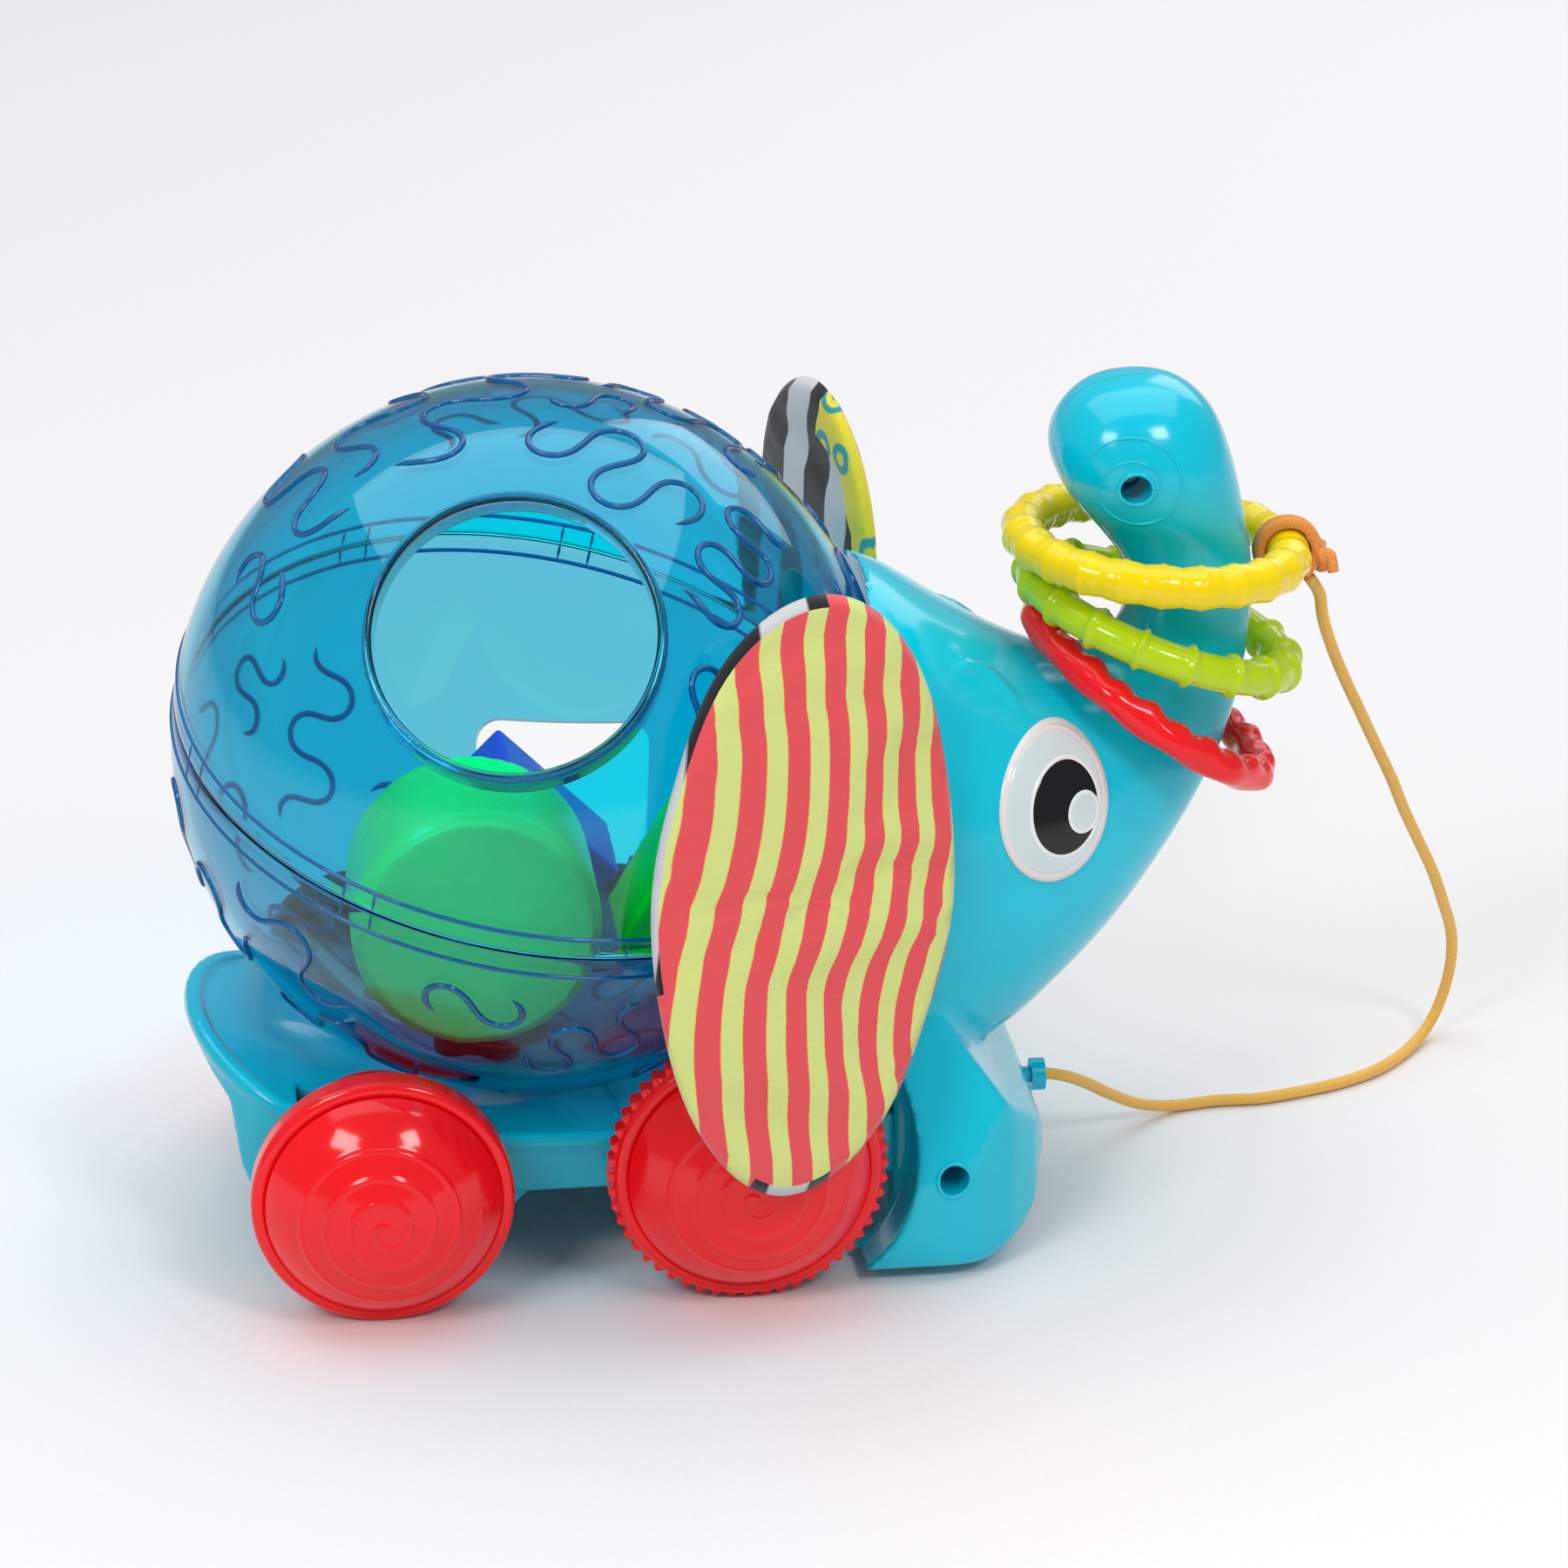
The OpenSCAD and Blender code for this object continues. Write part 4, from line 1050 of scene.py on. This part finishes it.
def make_ball():
    upper_clear = clear_plastic("clear_blue_upper", (0.0, 0.69, 0.87), (0.0, 0.32, 0.6), (0.5, 0.9, 0.96))
    lower_clear = clear_plastic("clear_blue_lower", (0.13, 0.6, 0.76), (0.0, 0.28, 0.52), (0.62, 0.88, 0.95))
    line_blue = clear_plastic("clear_blue_line", (0.0, 0.24, 0.52), (0.0, 0.05, 0.26), (0.1, 0.4, 0.7), 0.7)
    upper = shell("ball_upper_skin", True)
    combine(upper, round_cutter(), "DIFFERENCE")
    upper.data.set_sharp_from_angle(angle=math.radians(40))
    place(upper, "ball_upper", upper_clear, "clear_blue_plastic", ["ball_upper_shell"])
    place(hole_collar(), "ball_upper", upper_clear, "clear_blue_plastic")
    lower = shell("ball_lower_skin", False)
    combine(lower, hole_cutter("square_cut", SQUARE_HOLE, square_outline(44), 6), "DIFFERENCE")
    combine(lower, hole_cutter("triangle_cut", TRIANGLE_HOLE, triangle_outline(48), 4), "DIFFERENCE")
    lower.data.set_sharp_from_angle(angle=math.radians(40))
    place(lower, "ball_lower", lower_clear, "clear_blue_plastic", ["ball_lower_shell"])
    for half, up in (("upper", True), ("lower", False)):
        place(joined(f"ball_{half}_relief", relief_lines(up)), "ball_" + half, line_blue, "clear_blue_plastic")
        place(joined(f"ball_{half}_belt", belt_lines(up)), "ball_" + half, line_blue, "clear_blue_plastic")


def round_cutter():
    inside_collar = HOLE_R + 1 * MM
    return lathe("round_cut", [(inside_collar, 45 * MM), (inside_collar, 100 * MM)], 160, BALL, aim(ROUND_HOLE))


def hole_collar():
    """The round hole's collar: a short tube with a rolled outer lip."""
    wide, top = COLLAR_T, HOLE_RISE + 1.4 * MM
    inside = [(HOLE_R, top - 9 * MM), (HOLE_R, top - 0.9 * MM)]
    lip = arc((HOLE_R + 1.0 * MM, top - 0.6 * MM), 1.0 * MM, 180, 0, 12)
    outside = [(HOLE_R + wide, top - 1.2 * MM), (HOLE_R + wide, top - 9 * MM)]
    return lathe("round_hole_collar", inside + lip + outside, 160, BALL, aim(ROUND_HOLE), closed=True)


# ---------------------------------------------------------------- blocks inside the ball

def make_blocks():
    colours = {"green": ((0.0, 0.86, 0.16), "green_block_plastic"),
               "blue": ((0.07, 0.05, 0.5), "blue_block_plastic"),
               "yellow": ((0.98, 0.8, 0.02), "yellow_plastic"), "red": ((0.93, 0.01, 0.02), "red_plastic")}
    for name, (colour, slot) in colours.items():
        node = name + "_block"
        block = softened(node + "_skin", node, 1.0 * MM, 6)
        place(block, node, plastic(node + "_plastic", colour, roughness=0.25), slot, [node])


# ---------------------------------------------------------------- rings

def ring_place(node, tilt):
    """A ring's centre, tilt in radians, tube radius and centre-line radius, from its CAD node's box."""
    low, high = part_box(node)
    outer = (high.y - low.y) / 2
    thick = (high.z - low.z - 2 * outer * math.sin(tilt)) / (1 - math.sin(tilt))
    return (low + high) / 2, tilt, thick / 2, outer - thick / 2


def make_ring(name, at, profile):
    """profile(around, section) gives the tube's width and height there, as shares of its radius."""
    centre, tilt, tube_r, ring_r = at
    around_count, section_count = 360, 28
    turn = Matrix.Rotation(tilt, 3, "Y")
    rows = []
    for i in range(around_count):
        a = 2 * math.pi * i / around_count
        row = []
        for j in range(section_count):
            b = 2 * math.pi * j / section_count
            wide, high = profile(a, b)
            r = ring_r + tube_r * wide * math.cos(b)
            row.append(centre + turn @ Vector((r * math.cos(a), r * math.sin(a), tube_r * high * math.sin(b))))
        rows.append(row)
    faces = grid_faces(around_count, section_count, close_rows=True)
    piece = make_mesh(name, [p for row in rows for p in row], faces)
    face_outwards(piece)
    return piece


def bulbs(a, b):
    """Round bulbs with narrow necks, and a fine raised hoop on each."""
    wave = abs(math.cos(11 * a))
    size = 0.86 + 0.1 * wave ** 0.6 + 0.06 * math.exp(-((math.sin(11 * a)) / 0.22) ** 2)
    return size, size


def bamboo(a, b):
    """A plain tube with narrow hoops."""
    hoop = math.exp(-(math.sin(8.5 * a + 0.5) / 0.2) ** 2)
    size = 0.8 + 0.22 * hoop
    return size, size


def bumpy(a, b):
    """A flatter tube with a scalloped edge and soft bumps on its upper face."""
    scallop = 0.5 + 0.5 * math.cos(12 * a)
    bump = 0.12 * math.cos(24 * a) * max(0, math.sin(b)) ** 2
    return 0.84 + 0.22 * scallop ** 1.5, 0.84 + 0.14 * (1 - scallop) + bump


RING_TILTS = {"ring_yellow": math.radians(5), "ring_green": math.radians(20), "ring_red": math.radians(35)}


def make_rings():
    styles = {"ring_yellow": (bulbs, (1.0, 0.72, 0.0), "yellow_plastic"),
              "ring_green": (bamboo, (0.5, 0.7, 0.004), "lime_plastic"),
              "ring_red": (bumpy, (0.93, 0.006, 0.01), "red_plastic")}
    for node, (profile, colour, slot) in styles.items():
        ring = make_ring(node + "_skin", ring_place(node, RING_TILTS[node]), profile)
        place(ring, node, plastic(node + "_finish", colour, roughness=0.14), slot, [node])


# ---------------------------------------------------------------- ears

EAR_YAW, EAR_LEAN, EAR_TILT = math.radians(26), math.radians(8), math.radians(9)
LEFT_EAR_OUT = math.radians(48)
EAR_W, EAR_H, EAR_T = 82 * MM, 141 * MM, 4.6 * MM


def ear_axes(sign):
    """The ear's own axes: ahead along its face, up its face, and out from the ball."""
    ahead = Vector((math.cos(EAR_YAW), -sign * math.sin(EAR_YAW), 0))
    out = Vector((math.sin(EAR_YAW) * math.cos(EAR_LEAN), sign * math.cos(EAR_YAW) * math.cos(EAR_LEAN),
                  math.sin(EAR_LEAN)))
    up = ahead.cross(-out) if sign < 0 else out.cross(ahead) * -1
    if up.z < 0:
        up = -up
    tilted = ahead * math.cos(EAR_TILT) - up * math.sin(EAR_TILT)
    axes = tilted, ahead * math.sin(EAR_TILT) + up * math.cos(EAR_TILT), out
    if sign < 0:
        return axes
    swing = Matrix.Rotation(LEFT_EAR_OUT, 3, Vector(JOINTS["ear_left_swing"]["axis"]))
    return tuple(swing @ axis for axis in axes)


def ear_outline(count):
    """An ear's edge: an oval that is fullest above its middle and narrows to the lobe."""
    points = []
    for k in range(count):
        a = 2 * math.pi * k / count
        narrow = 1 - 0.1 * max(0, -math.sin(a)) ** 2
        points.append((EAR_W / 2 * 0.985 * math.cos(a) * narrow, EAR_H / 2 * 0.985 * math.sin(a)))
    return points


def ear_pad(side, sign):
    """A closed pad: an outer and an inner face that meet in a seam, with the cloth's flat place as UV."""
    ahead, up, out = ear_axes(sign)
    low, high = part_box("ear_" + side)
    centre = (low + high) / 2
    rows, columns = 22, 108
    outline = ear_outline(columns)
    points, flat = [], []
    for face in (1, -1):
        for i in range(rows + 1):
            share = (i + 0.02) / (rows + 0.02)
            if i == rows and face < 0:
                continue
            puff = EAR_T / 2 * 0.78 * math.sqrt(max(0, 1 - share ** 6))
            for j, (a, b) in enumerate(outline):
                u, v = a * share, b * share
                ripple = 0.7 * MM * math.sin(5 * math.pi * v / EAR_H + 4 * u / EAR_W) * share ** 2
                bow = -1.2 * MM * (2 * u / EAR_W) ** 2
                points.append(centre + ahead * u + up * v + out * (face * puff + ripple + bow * 0.5))
                flat.append((u, v))
    front = grid_faces(rows + 1, columns)
    back_first = (rows + 1) * columns
    back = grid_faces(rows, columns, first=back_first)
    last_back, edge = back_first + (rows - 1) * columns, rows * columns
    back += [(last_back + j, last_back + (j + 1) % columns, edge + (j + 1) % columns, edge + j)
             for j in range(columns)]
    faces = front + back + [tuple(range(columns)), tuple(range(back_first, back_first + columns))]
    piece = make_mesh("ear_pad_" + side, points, faces)
    face_outwards(piece)
    layer = piece.data.uv_layers.new(name="flat")
    for loop in piece.data.loops:
        layer.data[loop.index].uv = flat[loop.vertex_index]
    return piece, edge, columns, ear_prints(side, faces, len(front), flat)


def ear_prints(side, faces, front_count, flat):
    """Which print each face shows: the left ear's outer cloth and the right ear's inner cloth wrap the edge."""
    prints = []
    for index, corners in enumerate(faces):
        is_inner = index >= front_count and index != len(faces) - 2
        spot = sum((Vector(flat[v]) for v in corners), Vector((0, 0))) / len(corners)
        reach = math.hypot(spot.x / (EAR_W / 2), spot.y / (EAR_H / 2))
        if side == "left" and is_inner and reach > 0.8 and spot.x > 0:
            is_inner = False
        if side == "right" and not is_inner and reach > 0.955 and spot.x < 8 * MM * (1 - 2 * spot.y / EAR_H):
            is_inner = True
        prints.append(1 if is_inner else 0)
    return prints


def inflate(piece, edge, columns, cap=1.3 * MM):
    """Cloth simulation: the pad's two faces swell and crease inside their seam. A point moves at most cap."""
    last_frame = 16
    rest = [v.co.copy() for v in piece.data.vertices]
    group = piece.vertex_groups.new(name="seam")
    group.add(list(range(edge, edge + columns)), 1.0, "REPLACE")
    cloth = piece.modifiers.new("cloth", "CLOTH")
    cloth.settings.quality = 6
    cloth.settings.mass = 0.1
    cloth.settings.tension_stiffness = cloth.settings.compression_stiffness = 12
    cloth.settings.bending_stiffness = 0.3
    cloth.settings.use_pressure = True
    cloth.settings.uniform_pressure_force = 4
    cloth.settings.effector_weights.gravity = 0
    cloth.settings.vertex_group_mass = "seam"
    cloth.settings.shrink_min = -0.02
    cloth.point_cache.frame_start, cloth.point_cache.frame_end = 1, last_frame
    for number in range(1, last_frame + 1):
        bpy.context.scene.frame_set(number)
    settle(piece)
    bpy.context.scene.frame_set(1)
    for vertex, start in zip(piece.data.vertices, rest):
        move = vertex.co - start
        if move.length > cap:
            vertex.co = start + move * (cap / move.length)


def make_ears():
    outer = {"right": striped_cloth("ear_stripes"), "left": dotted_cloth("ear_dots")}
    inner = zebra_cloth("ear_zebra")
    tape = matte("tab_tape", (0.78, 0.78, 0.3), 0.85)
    for side, sign in SIDES.items():
        piece, edge, columns, prints = ear_pad(side, sign)
        inflate(piece, edge, columns)
        piece.data.materials.clear()
        for material in (outer[side], inner):
            piece.data.materials.append(material)
        for polygon, print_index in zip(piece.data.polygons, prints):
            polygon.material_index = print_index
        piece.data.shade_smooth()
        place(piece, "ear_" + side, None, "ear_fabric", ["ear_" + side])
        repaint("ear_tab_" + side, tape)


# ---------------------------------------------------------------- the whole toy

make_camera()
make_studio()
make_cord(ring_place("ring_yellow", RING_TILTS["ring_yellow"]))
head_skin = make_head()
make_eyes(head_skin)
make_cradle()
make_wheels()
make_ball()
make_blocks()
make_rings()
make_ears()
metal = steel("drawn_steel")
for name in ("rear_axle", "front_axle", "belly_screws", "head_screws"):
    repaint(name, metal)
repaint("cord_collar", plastic("collar_cyan", CYAN))
